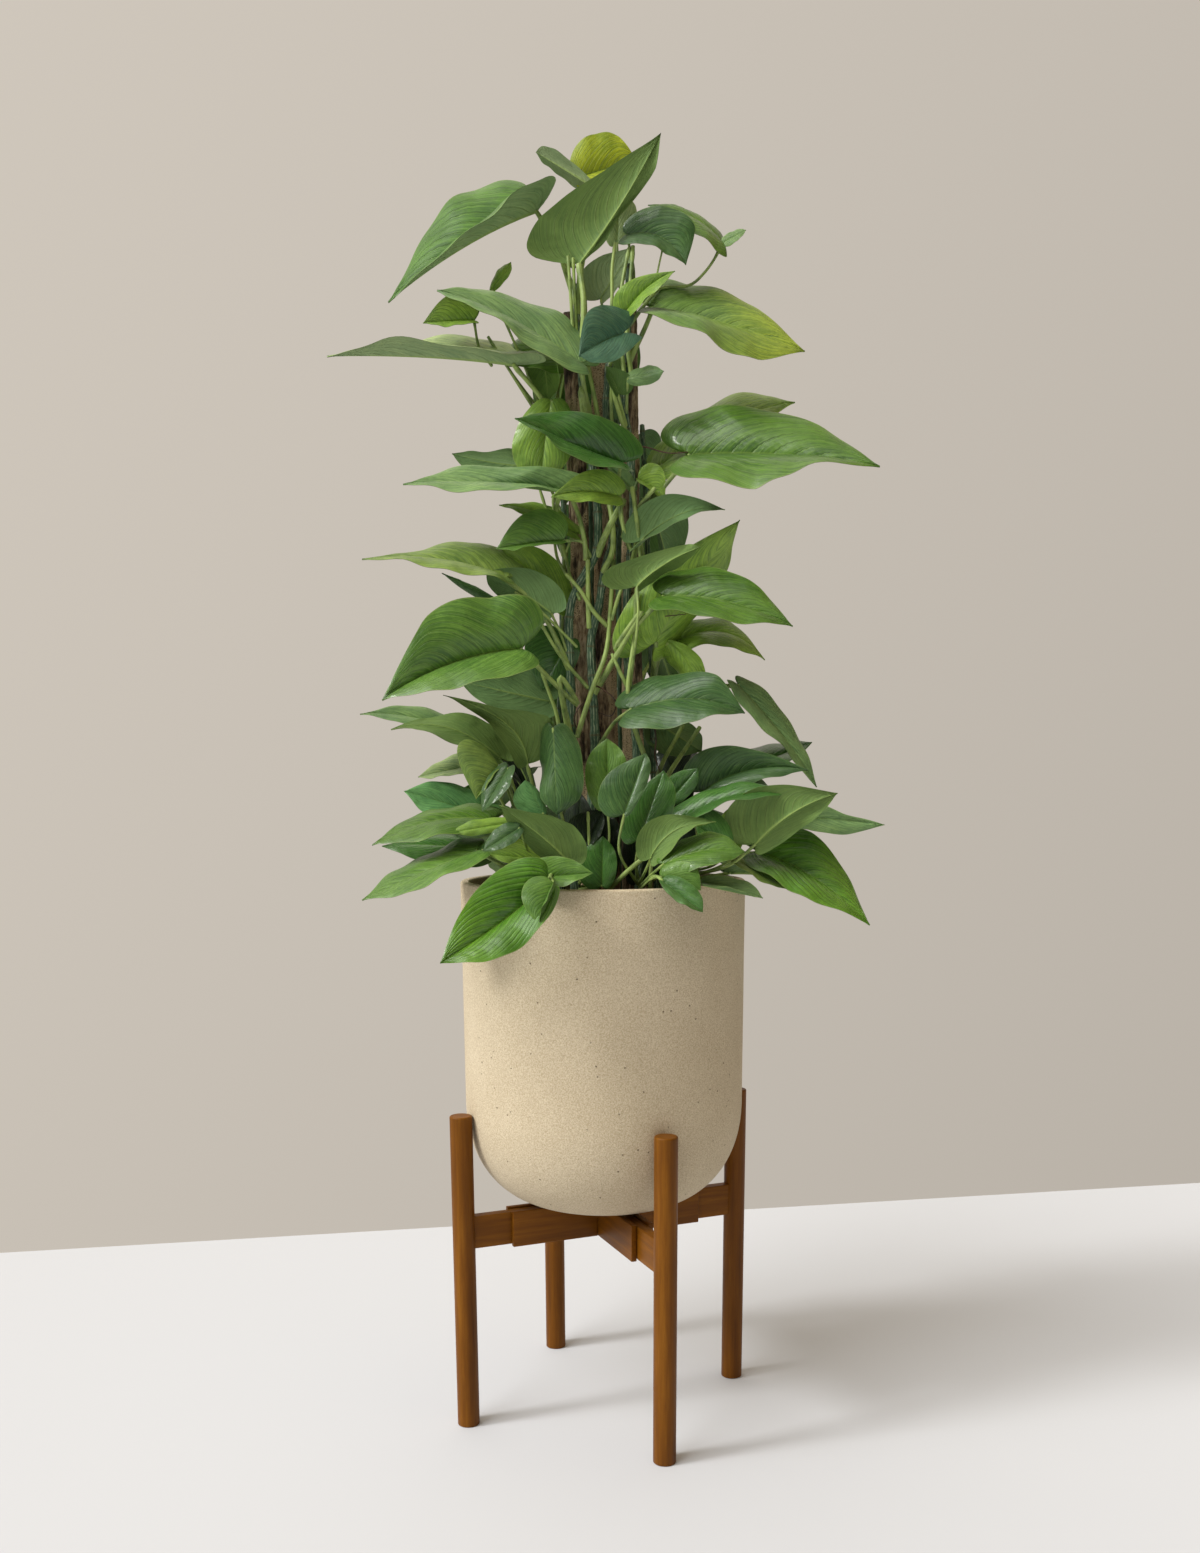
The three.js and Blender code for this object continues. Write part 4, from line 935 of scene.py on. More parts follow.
@dataclass(frozen=True)
class SeenLeaf:
    """A leaf that the front view shows, by picture points with their depth in millimetres.

    base, tip and middle are on the midrib. sides are the margin's two widest points, the far one first,
    and late is the same nearer the tip. joint is the picture row where the stalk leaves its stem, via the
    stalk's course, and start a place on another stalk that it grows from. width is the half width as a
    share of the length, lobe how far the blade reaches back beyond its stalk, and top where its upper
    face looks.
    """

    name: str
    tone: Tone
    base: Triple
    tip: Triple
    sides: Pair
    joint: float = 0.0
    middle: Optional[Place] = None
    late: Optional[Pair] = None
    via: Tuple[Triple, ...] = ()
    start: Optional[Triple] = None
    width: float = 0.31
    lobe: float = 0.1
    top: Face = Face.VIEWER

    def depth(self, share: float) -> float:
        """The midrib's depth at a share of its length."""
        return self.base[2] + (self.tip[2] - self.base[2]) * share

    def blade(self) -> "Blade":
        """The blade that these points describe.

        Returns:
            The blade.
        """
        base, tip = VIEW.sight(self.base), VIEW.sight(self.tip)
        straight = (base + tip) / 2
        middle = VIEW.sight((*self.middle, self.depth(0.5))) if self.middle else straight
        plain = Blade(base, tip, middle - straight, (), ())
        half = plain.length * self.width

        def reach(pair: Pair, share: float, width: float) -> List[np.ndarray]:
            """From the midrib to two margin points, as it would be at the blade's full width.

            Args:
                pair: The two points, the far one first.
                share: Their share of the midrib's length.
                width: The blade's width there as a share of its full width.

            Returns:
                The two reaches.
            """
            rib, depth = plain.midrib(share), self.depth(share)
            found = []
            for point, way in zip(pair, FAR_THEN_NEAR):
                flat = VIEW.sight((*point, depth)) - rib
                hidden = math.sqrt(max(0.0, (half * width) ** 2 - flat @ flat))
                found.append((VIEW.sight((*point, depth + way * hidden)) - rib) / width)
            return found

        early = reach(self.sides, Blade.WIDEST, 1.0)
        late = reach(self.late, Blade.NARROWING, Blade.NARROWING_WIDTH) if self.late else early
        upper = np.cross(early[1] - early[0], tip - base)
        if upper @ np.array(self.top.value) < 0:
            early, late = early[::-1], late[::-1]
        return Blade(base, tip, plain.bow, tuple(early), tuple(late), self.lobe)


@dataclass(frozen=True)
class Blade:
    """A leaf blade in space: its midrib, and how far its margin reaches to each side."""

    base: np.ndarray
    tip: np.ndarray
    bow: np.ndarray
    early: Tuple[np.ndarray, ...]
    late: Tuple[np.ndarray, ...]
    lobe: float = 0.1

    WIDEST = 0.36
    NARROWING = 0.72
    NARROWING_WIDTH = 0.64
    MARGIN = ((0.0, 0.0, 0.0), (-0.075, 0.2, 0.012), (-0.1, 0.45, 0.03), (-0.03, 0.72, 0.06),
              (0.1, 0.92, 0.12), (0.3, 1.0, 0.26), (0.5, 0.93, 0.44), (0.68, 0.72, 0.61),
              (0.82, 0.44, 0.76), (0.92, 0.19, 0.88), (0.97, 0.06, 0.95), (1.0, 0.0, 1.0))
    LOBES_A_LENGTH = 10
    USUAL_SHAPE = (1.0, 0.31, 0.25)
    ROWS = 46
    COLUMNS = 11
    CROWDING = 1.35
    RIB_POINTS = 41
    CAMBER = 0.1
    THICK = 0.7
    VEIN_RELIEF = 0.006
    RIPPLE = 0.022
    WAVES = ((1.0, 1.6, 7, 0.37), (0.5, 4.1, 5, 0.61))
    KEEL = 0.55
    KEEL_WIDTH = 1.3
    RIB = 1.1

    @property
    def length(self) -> float:
        """From the stalk to the tip, straight."""
        return float(np.linalg.norm(self.tip - self.base))

    def midrib(self, share: Union[float, np.ndarray]) -> np.ndarray:
        """Places on the midrib.

        Args:
            share: The share of its length from the stalk, or several.

        Returns:
            The place, or a row for each share.
        """
        each = np.asarray(share, dtype=float)[..., None]
        arch = np.where(each < 0, 4 * each, 4 * each * (1 - each))
        return self.base + (self.tip - self.base) * each + self.bow * arch

    def margin(self) -> np.ndarray:
        """The outline, with its points closer together where it turns.

        Returns:
            Each point's share along, share of the half width and share where its vein starts.
        """
        shape = np.array(self.MARGIN)
        shape[:, 0] = np.where(shape[:, 0] < 0, shape[:, 0] * self.lobe * self.LOBES_A_LENGTH, shape[:, 0])
        reach = reaches(shape * np.array(self.USUAL_SHAPE))
        curve = Course(list(shape))
        shares = np.linspace(0, 1, len(shape) * Course.FINE)
        fine = np.array([curve.at(share) for share in shares])
        even = np.interp(np.linspace(0, reach[-1], self.ROWS + 1), reach, np.arange(len(shape)))
        rows = between_rows(even, shares * (len(shape) - 1), fine)
        rows[:, 1:] = np.clip(rows[:, 1:], 0, 1)
        return rows

    def half(self, side: int, finish: LeafFinish, own: float) -> Tuple[np.ndarray, ...]:
        """One half of the blade as a grid from the midrib to the margin.

        Args:
            side: Which half, 0 or 1.
            finish: The leaf finish, which has the same veins.
            own: A number of this leaf's own, from 0 to 1.

        Returns:
            The points of its middle layer, its upward directions, and its share along and across.
        """
        rows = self.margin()
        share, width, root = rows[:, 0], rows[:, 1], rows[:, 2]
        blend = np.clip((share - self.WIDEST) / (self.NARROWING - self.WIDEST), 0, 1)[:, None]
        reach = self.early[side] * (1 - blend) + self.late[side] * blend
        start = self.midrib(root)
        span = self.midrib(share) + reach * width[:, None] - start
        across = np.linspace(0, 1, self.COLUMNS + 1) ** self.CROWDING
        flat = start[:, None] + span[:, None] * across[None, :, None]
        along = root[:, None] + (share - root)[:, None] * across[None, :]
        shares = np.linspace(0, 1, self.RIB_POINTS)
        rib_way = between_rows(np.clip(share, 0, 1), shares, unit(np.gradient(self.midrib(shares), axis=0)))
        normal = unit(np.cross(reach, rib_way) * (1.0 if side == 1 else -1.0))[:, None]
        wide = np.linalg.norm(span, axis=1)[:, None, None]
        out = across[None, :, None]
        turn = np.linspace(0, 1, self.ROWS + 1)[:, None, None]
        arch = self.CAMBER * wide * 4 * out * (1 - out) * (1 - 0.35 * out)
        wave = sum(size * np.sin(2 * math.pi * (turn * count + own * shift + apart * side))
                   for size, count, shift, apart in self.WAVES)
        ripple = self.RIPPLE * self.length * out ** 2 * wave * np.sin(math.pi * turn)
        lean = across * (1 + across) / 2 * finish.slant
        phase = (along - lean[None, :]) * finish.veins + own
        gap = np.abs(phase - np.floor(phase) - 0.5)[..., None]
        fade = (1 - smooth(0.7, 1.0, out)) * smooth(0, 0.08, out)
        furrow = -smooth(0.22, 0.5, gap) * fade * self.VEIN_RELIEF * self.length
        keel = -np.exp(-(out * wide / self.KEEL_WIDTH) ** 2) * self.KEEL * (1 - root)[:, None, None] ** 0.5
        edge = self.RIPPLE * 0.3 * self.length * smooth(0.8, 1.0, out)
        points = flat + normal * (arch + ripple + furrow + keel - edge)
        return points, normal, along, np.tile(across[None, :], (len(rows), 1))

    def add_to(self, draft: Draft, look: LeafLook, own: float, finish: LeafFinish) -> None:
        """Adds the blade to a piece, as one closed thin body.

        Args:
            draft: Where it goes.
            look: The leaf's colour, gloss and veins.
            own: A number of this leaf's own, from 0 to 1.
            finish: The leaf finish.
        """
        left, right = (self.half(side, finish, own) for side in (0, 1))
        middle = np.concatenate([left[0][:, :0:-1], right[0]], axis=1)
        guide = np.concatenate([np.repeat(left[1], self.COLUMNS, 1),
                                np.repeat(right[1], self.COLUMNS + 1, 1)], axis=1)
        along = np.concatenate([left[2][:, :0:-1], right[2]], axis=1)
        across = np.concatenate([-left[3][:, :0:-1], right[3]], axis=1)
        normal = unit(np.cross(np.gradient(middle, axis=1), np.gradient(middle, axis=0)))
        steady = np.sum(normal * guide, axis=2, keepdims=True) > 0.25
        normal = np.where(steady, normal, guide)
        thick = self.THICK * (1 - 0.45 * np.abs(across) ** 4)[..., None]
        slim = (1 - np.clip(along, 0, 1)) ** 0.7
        rib = np.exp(-(np.abs(across) * self.length * 0.3 / self.RIB) ** 2) * slim
        top = middle + normal * thick / 2
        under = middle - normal * (thick / 2 + self.RIB * rib[..., None])
        tall, wide = along.shape
        grid = sheet_faces(tall, wide)
        size = tall * wide
        faces = list(grid) + [tuple(size + corner for corner in face[::-1]) for face in grid]
        for row in range(tall - 1):
            a, b = row * wide, (row + 1) * wide
            faces.append((a, b, size + b, size + a))
            faces.append((b + wide - 1, a + wide - 1, size + a + wide - 1, size + b + wide - 1))
        places = [np.stack([along, across, np.full_like(along, face)], axis=2).reshape(-1, 3)
                  for face in (0, 1)]
        draft.add(np.concatenate([top.reshape(-1, 3), under.reshape(-1, 3)]), faces,
                  blade=np.concatenate(places), trait=(look.gloss, look.pale, own),
                  tone=np.concatenate([look.along(along, False), look.along(along, True)]))


class Draws:
    """A seeded run of numbers from 0 to 1."""

    FACTOR = 1664525
    STEP = 1013904223
    SPAN = 4294967296

    def __init__(self, seed: int) -> None:
        """Starts the run at a seed."""
        self.state = seed

    def share(self) -> float:
        """The next number."""
        self.state = (self.state * self.FACTOR + self.STEP) % self.SPAN
        return self.state / self.SPAN

    def within(self, low: float, more: float) -> float:
        """A number from low, up to more above it."""
        return low + more * self.share()

    def swing(self, size: float) -> float:
        """A number up to half the size to either side of 0."""
        return size * (self.share() - 0.5)


def first_above(levels: Sequence[float], level: float) -> int:
    """Which of the rising levels, past the lowest, is the first above a level."""
    return max(1, next((index for index, other in enumerate(levels) if other > level), -1))


@dataclass(frozen=True)
class Stem:
    """A stem: its foot in the soil, its radius and its course, by picture points where it is seen."""

    name: str
    foot: Place
    radius: float
    path: Tuple[Triple, ...]
    seen: bool = True

    DEPTH = 45.0
    BELOW = 20.0
    ABOVE = 6.0
    STEP = 40.0
    TAPER = 0.35
    RINGS = 36.0
    RINGS_VARY = 8.0
    RING_WIDTH = 2.2
    RING_SWELL = 0.2
    SAMPLE = 3.0
    SIDES = 16
    RIBS = (0.85, 0.5, 0.0)

    def places(self) -> List[np.ndarray]:
        """The points that the stem runs through above the soil."""
        path = VIEW.course(self.path) if self.seen else [np.array(point) for point in self.path]
        return [np.array([*self.foot, Soil.TOP + self.ABOVE]), *path]

    def at(self, height: float) -> np.ndarray:
        """The place on the stem at a height.

        Args:
            height: The height.

        Returns:
            The place.
        """
        course = Course(self.places())
        cuts = max(2 if course.spans == 1 else 1, round(self.length() / course.spans / self.STEP))
        points = np.array([course.at(share) for share in np.linspace(0, 1, course.spans * cuts + 1)])
        above = first_above(points[:, 2], height)
        low, high = points[above - 1], points[above]
        return low + (high - low) * (height - low[2]) / (high[2] - low[2])

    def joint(self, row: float) -> np.ndarray:
        """The place on the stem that a picture row shows."""
        return self.at(float(VIEW.sight((VIEW.centre[0], row, self.foot[1]))[2]))

    def length(self) -> float:
        """How long it is above the soil.

        Returns:
            The length.
        """
        course = Course(self.places())
        points = np.array([course.at(share) for share in np.linspace(0, 1, 201)])
        return float(np.sum(np.linalg.norm(np.diff(points, axis=0), axis=1)))

    def add_to(self, draft: Draft) -> None:
        """Adds the stem to a piece, thinner towards its top, with a ring at each joint.

        Args:
            draft: Where it goes.
        """
        foot = np.array([*self.foot, Soil.TOP])
        low = [foot - UP * self.DEPTH, foot - UP * self.BELOW]
        centres = Course(low + self.places()).sampled(self.SAMPLE)
        share = np.linspace(0, 1, len(centres))
        reach = share * (self.length() + self.DEPTH)
        rings = self.RINGS + self.RINGS_VARY * math.sin(self.foot[0])
        gap = np.abs((reach / rings) % 1.0 - 0.5) * rings
        joint = np.exp(-(gap / self.RING_WIDTH) ** 2)
        wobble = 1 + 0.05 * np.sin(reach / 9.0 + self.foot[1]) + 0.03 * np.sin(reach / 3.7)
        radii = self.radius * (1 - self.TAPER * share) * wobble * (1 + self.RING_SWELL * joint)
        tube(draft, centres, radii, self.SIDES, joints=joint, tone=STEM_GREEN, trait=self.RIBS, skin=1)


@dataclass(frozen=True)
class Stalk:
    """A leaf stalk, from its root on a stem to the blade's base."""

    root: np.ndarray
    via: Sequence[np.ndarray]
    base: np.ndarray
    thick: float
    joins_stem: bool = True

    SHEATH = 0.75
    KNEE = 0.22
    KNEE_AT = 0.93
    KNEE_WIDTH = 0.035
    SAMPLE = 3.2
    SIDES = 10
    RIBS = (0.3, 0.5, 0.0)

    def add_to(self, draft: Draft, tint: Colour) -> None:
        """Adds the stalk to a piece: a sheath at its foot, then round, with a knee under the blade.

        Args:
            draft: Where it goes.
            tint: Its colour.
        """
        centres = Course([self.root, *self.via, self.base]).sampled(self.SAMPLE)
        share = np.linspace(0, 1, len(centres))
        sheath = self.SHEATH * (1 - smooth(0.02, 0.4, share)) if self.joins_stem else 0.0 * share
        knee = self.KNEE * np.exp(-((share - self.KNEE_AT) / self.KNEE_WIDTH) ** 2)
        radii = self.thick * (0.98 - 0.22 * share + sheath * 0.45 + knee)
        joint = 0.4 * np.exp(-((share - self.KNEE_AT) / 0.02) ** 2)
        tube(draft, centres, radii, self.SIDES, joints=joint, tone=tint, trait=self.RIBS, skin=1)


@dataclass(frozen=True)
class AirRoot:
    """A thin brown root in the air, by picture points with their depth."""

    stem: str
    points: Tuple[Triple, ...]
    radius: float = 0.9

    END = 0.45
    SAMPLE = 3.0
    SIDES = 6

    def add_to(self, draft: Draft) -> None:
        """Adds the root to a piece, thinner towards its end.

        Args:
            draft: Where it goes.
        """
        centres = Course(VIEW.course(self.points)).sampled(self.SAMPLE)
        radii = self.radius * np.linspace(1.0, self.END, len(centres))
        tube(draft, centres, radii, self.SIDES, tone=ROOT_BROWN, skin=1)


@dataclass
class Planter:
    """The straight-sided, round-bottomed cream planter."""

    finish: ClayFinish = field(default_factory=ClayFinish)
    sides: int = 192
    rim_steps: int = 6

    RADIUS = 145.0
    WALL = 9.0
    TOP = 570.5
    FOOT = 231.8
    FOOT_RADIUS = 44.0
    CURVE_TOP = 345.0
    CURVE_POWER = 2.3
    RIM_ROUND = 2.5
    OUTER_STEPS = 44
    INNER_STEPS = 30
    SWELL = 0.35
    SWELL_SIZE = 0.012
    SWELL_FROM = 60

    @classmethod
    def curve(cls, inset: float, steps: int) -> List[Place]:
        """The rounded bottom from the foot up, as radius and height.

        Args:
            inset: How far inside the outer face it lies.
            steps: How many steps it takes.

        Returns:
            The points.
        """
        foot = cls.FOOT + inset
        points = []
        for index in range(steps + 1):
            angle = math.pi / 2 * index / steps
            bulge = math.sin(angle) ** (2 / cls.CURVE_POWER)
            down = max(0.0, math.cos(angle)) ** (2 / cls.CURVE_POWER)
            points.append((cls.FOOT_RADIUS + (cls.RADIUS - inset - cls.FOOT_RADIUS) * bulge,
                           cls.CURVE_TOP - (cls.CURVE_TOP - foot) * down))
        return points

    def profile(self) -> List[Place]:
        """The whole section, up the outside, over the rim and down the inside.

        Returns:
            The points, as radius and height.
        """
        inside = self.RADIUS - self.WALL
        outer = self.curve(0, self.OUTER_STEPS)
        inner = self.curve(self.WALL, self.INNER_STEPS)[::-1]
        soft = self.RIM_ROUND
        middle = self.TOP - soft
        wall = [(self.RADIUS, self.CURVE_TOP + (middle - self.CURVE_TOP) * share)
                for share in np.linspace(0.1, 1, 10)]
        turn = np.linspace(0, math.pi / 2, self.rim_steps + 1)
        over = [(self.RADIUS - soft * (1 - math.cos(a)), middle + soft * math.sin(a)) for a in turn[1:]]
        back = [(inside + soft * (1 - math.sin(a)), middle + soft * math.cos(a)) for a in turn]
        return [(0.0, self.FOOT), *outer, *wall, *over, *back, *inner, (0.0, self.FOOT + self.WALL)]

    def build(self) -> List[bpy.types.Object]:
        """Makes the planter.

        Returns:
            Its one piece.
        """
        draft = Draft()
        turned(draft, self.profile(), self.sides)
        for point in draft.points[0]:
            radius = math.hypot(point[0], point[1])
            if radius > self.SWELL_FROM:
                point[:2] *= 1 + noise.noise(Vector(point) * self.SWELL_SIZE) * self.SWELL / radius
        made = draft.piece("planter_pot", [self.finish.material()], sharp=70)
        return [stands_in(made, "planter")]


@dataclass
class Soil:
    """The potting soil, rough on top, with crumbs on it."""

    finish: SoilFinish = field(default_factory=SoilFinish)
    rings: int = 54
    sides: int = 150
    crumbs: int = 420

    TOP = 545.0
    DOME = 5.0
    GAP = 0.4
    CURVE_STEPS = 14
    SEED = 51
    EDGE = 6
    SMALLEST = 1.0
    LARGER = 2.6
    ROUGH = 0.45
    ROUGH_SIZE = 1.6

    def height(self, x: float, y: float) -> float:
        """How high the soil's surface is.

        Args:
            x: The place along the frame's first axis.
            y: The place along its second.

        Returns:
            The height.
        """
        share = min(1.0, math.hypot(x, y) / (Planter.RADIUS - Planter.WALL))
        dome = self.TOP - self.DOME * max(0.0, (share - 0.5) * 2)
        place = Vector((x, y, 3.0))
        return dome + noise.fractal(place * 0.09, 0.9, 2.1, 4) * 2.2 + noise.noise(place * 0.03) * 1.6 - 1.0

    def add_crumbs(self, draft: Draft, radius: float) -> None:
        """Adds the crumbs that lie on the soil.

        Args:
            draft: Where they go.
            radius: How far out the soil reaches.
        """
        lump = bmesh.new()
        bmesh.ops.create_icosphere(lump, subdivisions=2, radius=1.0)
        ball = np.array([vertex.co[:] for vertex in lump.verts])
        faces = [[vertex.index for vertex in face.verts] for face in lump.faces]
        lump.free()
        draws = Draws(self.SEED)
        for _ in range(self.crumbs):
            turn = 2 * math.pi * draws.share()
            place = outward(turn) * ((radius - self.EDGE) * math.sqrt(draws.share()))
            size = self.SMALLEST + self.LARGER * draws.share() ** 3
            place[2] = self.height(place[0], place[1]) + size * 0.25
            rough = np.array([1 + self.ROUGH * noise.noise(Vector(point) * self.ROUGH_SIZE + Vector(place))
                              for point in ball])
            squash = np.array([1.0, draws.within(0.75, 0.5), draws.within(0.6, 0.3)])
            spin = draws.share() * 6.0
            long, short, tall = (ball * rough[:, None] * squash * size).T
            swung = np.stack([long * math.cos(spin) - short * math.sin(spin),
                              long * math.sin(spin) + short * math.cos(spin), tall], axis=1)
            draft.add(swung + place, faces)

    def build(self) -> List[bpy.types.Object]:
        """Makes the soil.

        Returns:
            Its one piece.
        """
        draft = Draft()
        inset = Planter.WALL + self.GAP
        radius = Planter.RADIUS - inset
        low = [(0.0, Planter.FOOT + inset), *Planter.curve(inset, self.CURVE_STEPS)]
        top = [(radius * share, self.TOP) for share in np.linspace(1, 0, self.rings)]
        turned(draft, [*low, *top], self.sides)
        for point in draft.points[0][len(low) * self.sides:]:
            point[2] = self.height(point[0], point[1])
        self.add_crumbs(draft, radius)
        made = draft.piece("soil_fill", [self.finish.material()], sharp=80)
        return [stands_in(made, "soil")]


@dataclass(frozen=True)
class Stake:
    """One bark-covered stake: its middle at the top and in the soil, its width at each, its thickness,
    the seed of its bark and the heights of the rings round it."""

    name: str
    top: Triple
    foot: Place
    width: Place
    thick: float
    seed: int
    rings: Tuple[float, ...] = ()

    DEPTH = 90.0
    ROUND = 72
    STEP = 3.2
    POWER = 2.7
    RELIEF = 2.3
    MIDDLE = 0.55
    RING_WIDTH = 5.0
    RING_SWELL = 0.05
    END_SHRINK = 0.9
    CRACKS = (0.16, 0.018)
    PLATES = (0.09, 0.035)
    CRUMBS = (0.5, 0.22)

    def relief(self, x: float, y: float, height: float) -> float:
        """How far the bark stands out.

        Args:
            x: The place across, from the stake's middle.
            y: The place through, from the stake's middle.
            height: The height.

        Returns:
            The relief, from 0 in a crack to 1 on a plate.
        """
        def spot(across: float, upward: float) -> Vector:
            """The place in the noise, scaled across and upward."""
            own = Vector((self.seed * 7.3, self.seed * 1.7, 0))
            return Vector((x * across, y * across, height * upward)) + own

        crack = noise.ridged_multi_fractal(spot(*self.CRACKS), 0.9, 2.1, 4, 0.9, 2.0)
        plate = noise.noise(spot(*self.PLATES))
        crumb = noise.fractal(spot(*self.CRUMBS), 0.8, 2.2, 3)
        return min(1.0, max(0.0, 0.95 - 0.42 * crack + 0.3 * plate + 0.2 * crumb))

    def build(self, material: bpy.types.Material) -> bpy.types.Object:
        """Makes the stake.

        Args:
            material: The bark.

        Returns:
            The stake.
        """
        low = np.array([*self.foot, Soil.TOP - self.DEPTH])
        high = np.array(self.top)
        rows = int((high[2] - low[2]) / self.STEP)
        angle = np.linspace(0, 2 * math.pi, self.ROUND, endpoint=False)
        points, places = [], []
        for index in range(rows + 1):
            share = index / rows
            centre = low + (high - low) * share
            across = (self.width[1] + (self.width[0] - self.width[1]) * share) / 2
            wave = 1 + 0.05 * noise.noise(Vector((0, self.seed, centre[2] * 0.02)))
            ring = sum(math.exp(-((centre[2] - level) / self.RING_WIDTH) ** 2) for level in self.rings)
            end = 1.0 if 0 < index < rows else self.END_SHRINK
            for turn in angle:
                x, y = (math.copysign(abs(way) ** (2 / self.POWER), way) * half * wave
                        for way, half in ((math.cos(turn), across), (math.sin(turn), self.thick / 2)))
                relief = self.relief(x, y, centre[2])
                push = (1 + (relief - self.MIDDLE) * self.RELIEF / max(across, 6.0)
                        + self.RING_SWELL * ring)
                points.append(centre + np.array([x * push * end, y * push * end, 0.0]))
                places.append((centre[2] / 100, turn, relief))
        draft = Draft()
        first = draft.add(np.array(points), sheet_faces(rows + 1, self.ROUND, closed=True),
                          blade=np.array(places))
        for start, flip in ((0, True), (rows * self.ROUND, False)):
            ends = [first + start + index for index in range(self.ROUND)]
            middle = np.mean(np.array(points)[start:start + self.ROUND], axis=0)
            hub = draft.add(middle[None, :], [], blade=np.array([[0.0, 0.0, 0.3]]))
            for a, b in zip(ends, ends[1:] + ends[:1]):
                draft.faces.append((hub, b, a) if flip else (hub, a, b))
                draft.skins.append(0)
        made = draft.piece(f"{self.name}_bark", [material], sharp=75, weld=0.0)
        return stands_in(made, self.name)


@dataclass
class Stakes:
    """The three bark stakes that stand side by side."""

    finish: BarkFinish = field(default_factory=BarkFinish)
    stakes: Tuple[Stake, ...] = (
        Stake("stake_left", (-27, -1, 1101), (-9, -2), (17, 21), 12, 11),
        Stake("stake_middle", (0, 13, 1104), (9, 13), (20, 20), 12, 23),
        Stake("stake_right", (27, -1, 1106), (33, -1), (14, 25), 12, 37, (880.0,)),
    )

    def build(self) -> List[bpy.types.Object]:
        """Makes the three stakes."""
        material = self.finish.material()
        return [stake.build(material) for stake in self.stakes]


@dataclass
class Stand:
    """The wooden stand: four round legs with their tongues, and two crossing pairs of slats."""

    finish: WoodFinish = field(default_factory=WoodFinish)
    leg_sides: int = 64
    edge: float = 0.8

    TURN = 0.3877
    LEG_RADIUS = 11.56
    LEG_HEIGHT = 336.8
    LEG_ROUND = 1.6
    FOOT_ROUND = 0.8
    LEG_CIRCLE = 156.9
    LEG_SHIFT = 40
    BAR_SHIFT = 0.2
    FLAT = math.radians(2)
    CORNER = math.radians(30)
    SHARP = math.radians(35)
    ARMS = ("right", "back", "left", "front")

    def leg(self, name: str, turn: float, material: bpy.types.Material) -> bpy.types.Object:
        """One round leg.

        Args:
            name: Which leg it is.
            turn: The direction of its arm.
            material: The wood.

        Returns:
            The leg.
        """
        draft = Draft()
        radius, top, soft = self.LEG_RADIUS, self.LEG_HEIGHT, self.LEG_ROUND
        centre = (math.cos(turn) * self.LEG_CIRCLE, math.sin(turn) * self.LEG_CIRCLE)
        quarter = np.linspace(0, math.pi / 2, 6)
        foot = [(radius - self.FOOT_ROUND * (1 - math.sin(a)), self.FOOT_ROUND * (1 - math.cos(a)))
                for a in quarter]
        shaft = [(radius, height) for height in np.linspace(8, top - soft - 2, 30)]
        head = [(radius - soft * (1 - math.cos(a)), top - soft + soft * math.sin(a)) for a in quarter]
        face = [(radius * share, top) for share in (0.75, 0.5, 0.25, 0.0)]
        turned(draft, [(0.0, 0.0), *foot, *shaft, *head, *face], self.leg_sides, centre)
        points = draft.points[0]
        draft.blade[0] = np.stack([points[:, 2], points[:, 0] - centre[0] + self.LEG_SHIFT * turn,
                                   points[:, 1] - centre[1]], axis=1) * METRE
        made = draft.piece(f"leg_{name}_dowel", [material], sharp=60)
        return stands_in(made, f"leg_{name}", f"leg_{name}")

    def bar(self, name: str, body: str, turn: float, material: bpy.types.Material) -> bpy.types.Object:
        """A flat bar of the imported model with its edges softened.

        Args:
            name: The node that it stands for.
            body: The body that it rides on.
            turn: The direction of its length.
            material: The wood.

        Returns:
            The bar.
        """
        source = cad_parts[name]
        mesh = source.data.copy()
        mesh.materials.clear()
        shape = bmesh.new()
        shape.from_mesh(mesh)
        bmesh.ops.remove_doubles(shape, verts=shape.verts, dist=0.01 * METRE)
        bmesh.ops.dissolve_limit(shape, angle_limit=self.FLAT, verts=shape.verts, edges=shape.edges)
        corners = [edge for edge in shape.edges
                   if len(edge.link_faces) == 2 and edge.calc_face_angle() > self.CORNER]
        bmesh.ops.bevel(shape, geom=corners, offset=self.edge * METRE, segments=3, profile=0.6,
                        affect="EDGES", clamp_overlap=True)
        bmesh.ops.triangulate(shape, faces=[face for face in shape.faces if len(face.verts) > 4])
        shape.to_mesh(mesh)
        shape.free()
        kept = mesh.attributes.new("blade", "FLOAT_VECTOR", "POINT")
        x, y, z = np.array([vertex.co[:] for vertex in mesh.vertices]).T
        local = np.stack([x * math.cos(turn) + y * math.sin(turn) + len(name) * self.BAR_SHIFT,
                          y * math.cos(turn) - x * math.sin(turn), z], axis=1)
        kept.data.foreach_set("vector", local.ravel())
        mesh.materials.append(material)
        mesh.shade_smooth()
        mesh.set_sharp_from_angle(angle=self.SHARP)
        made = placed(f"{name}_bar", mesh)
        made.matrix_world = source.matrix_world
        return stands_in(made, name, body)

    def build(self) -> List[bpy.types.Object]:
        """Makes the stand.

        Returns:
            Each leg and its tongue, then the slats.
        """
        material = self.finish.material()
        pieces = []
        for quarter, name in enumerate(self.ARMS):
            turn = self.TURN + quarter * math.pi / 2
            pieces.append(self.leg(name, turn, material))
            pieces.append(self.bar(f"tongue_{name}", f"leg_{name}", turn, material))
        for rail, turn in (("front_back", self.TURN + math.pi / 2), ("left_right", self.TURN)):
            for place in "ab":
                pieces.append(self.bar(f"slat_{rail}_{place}", "body", turn, material))
        return pieces


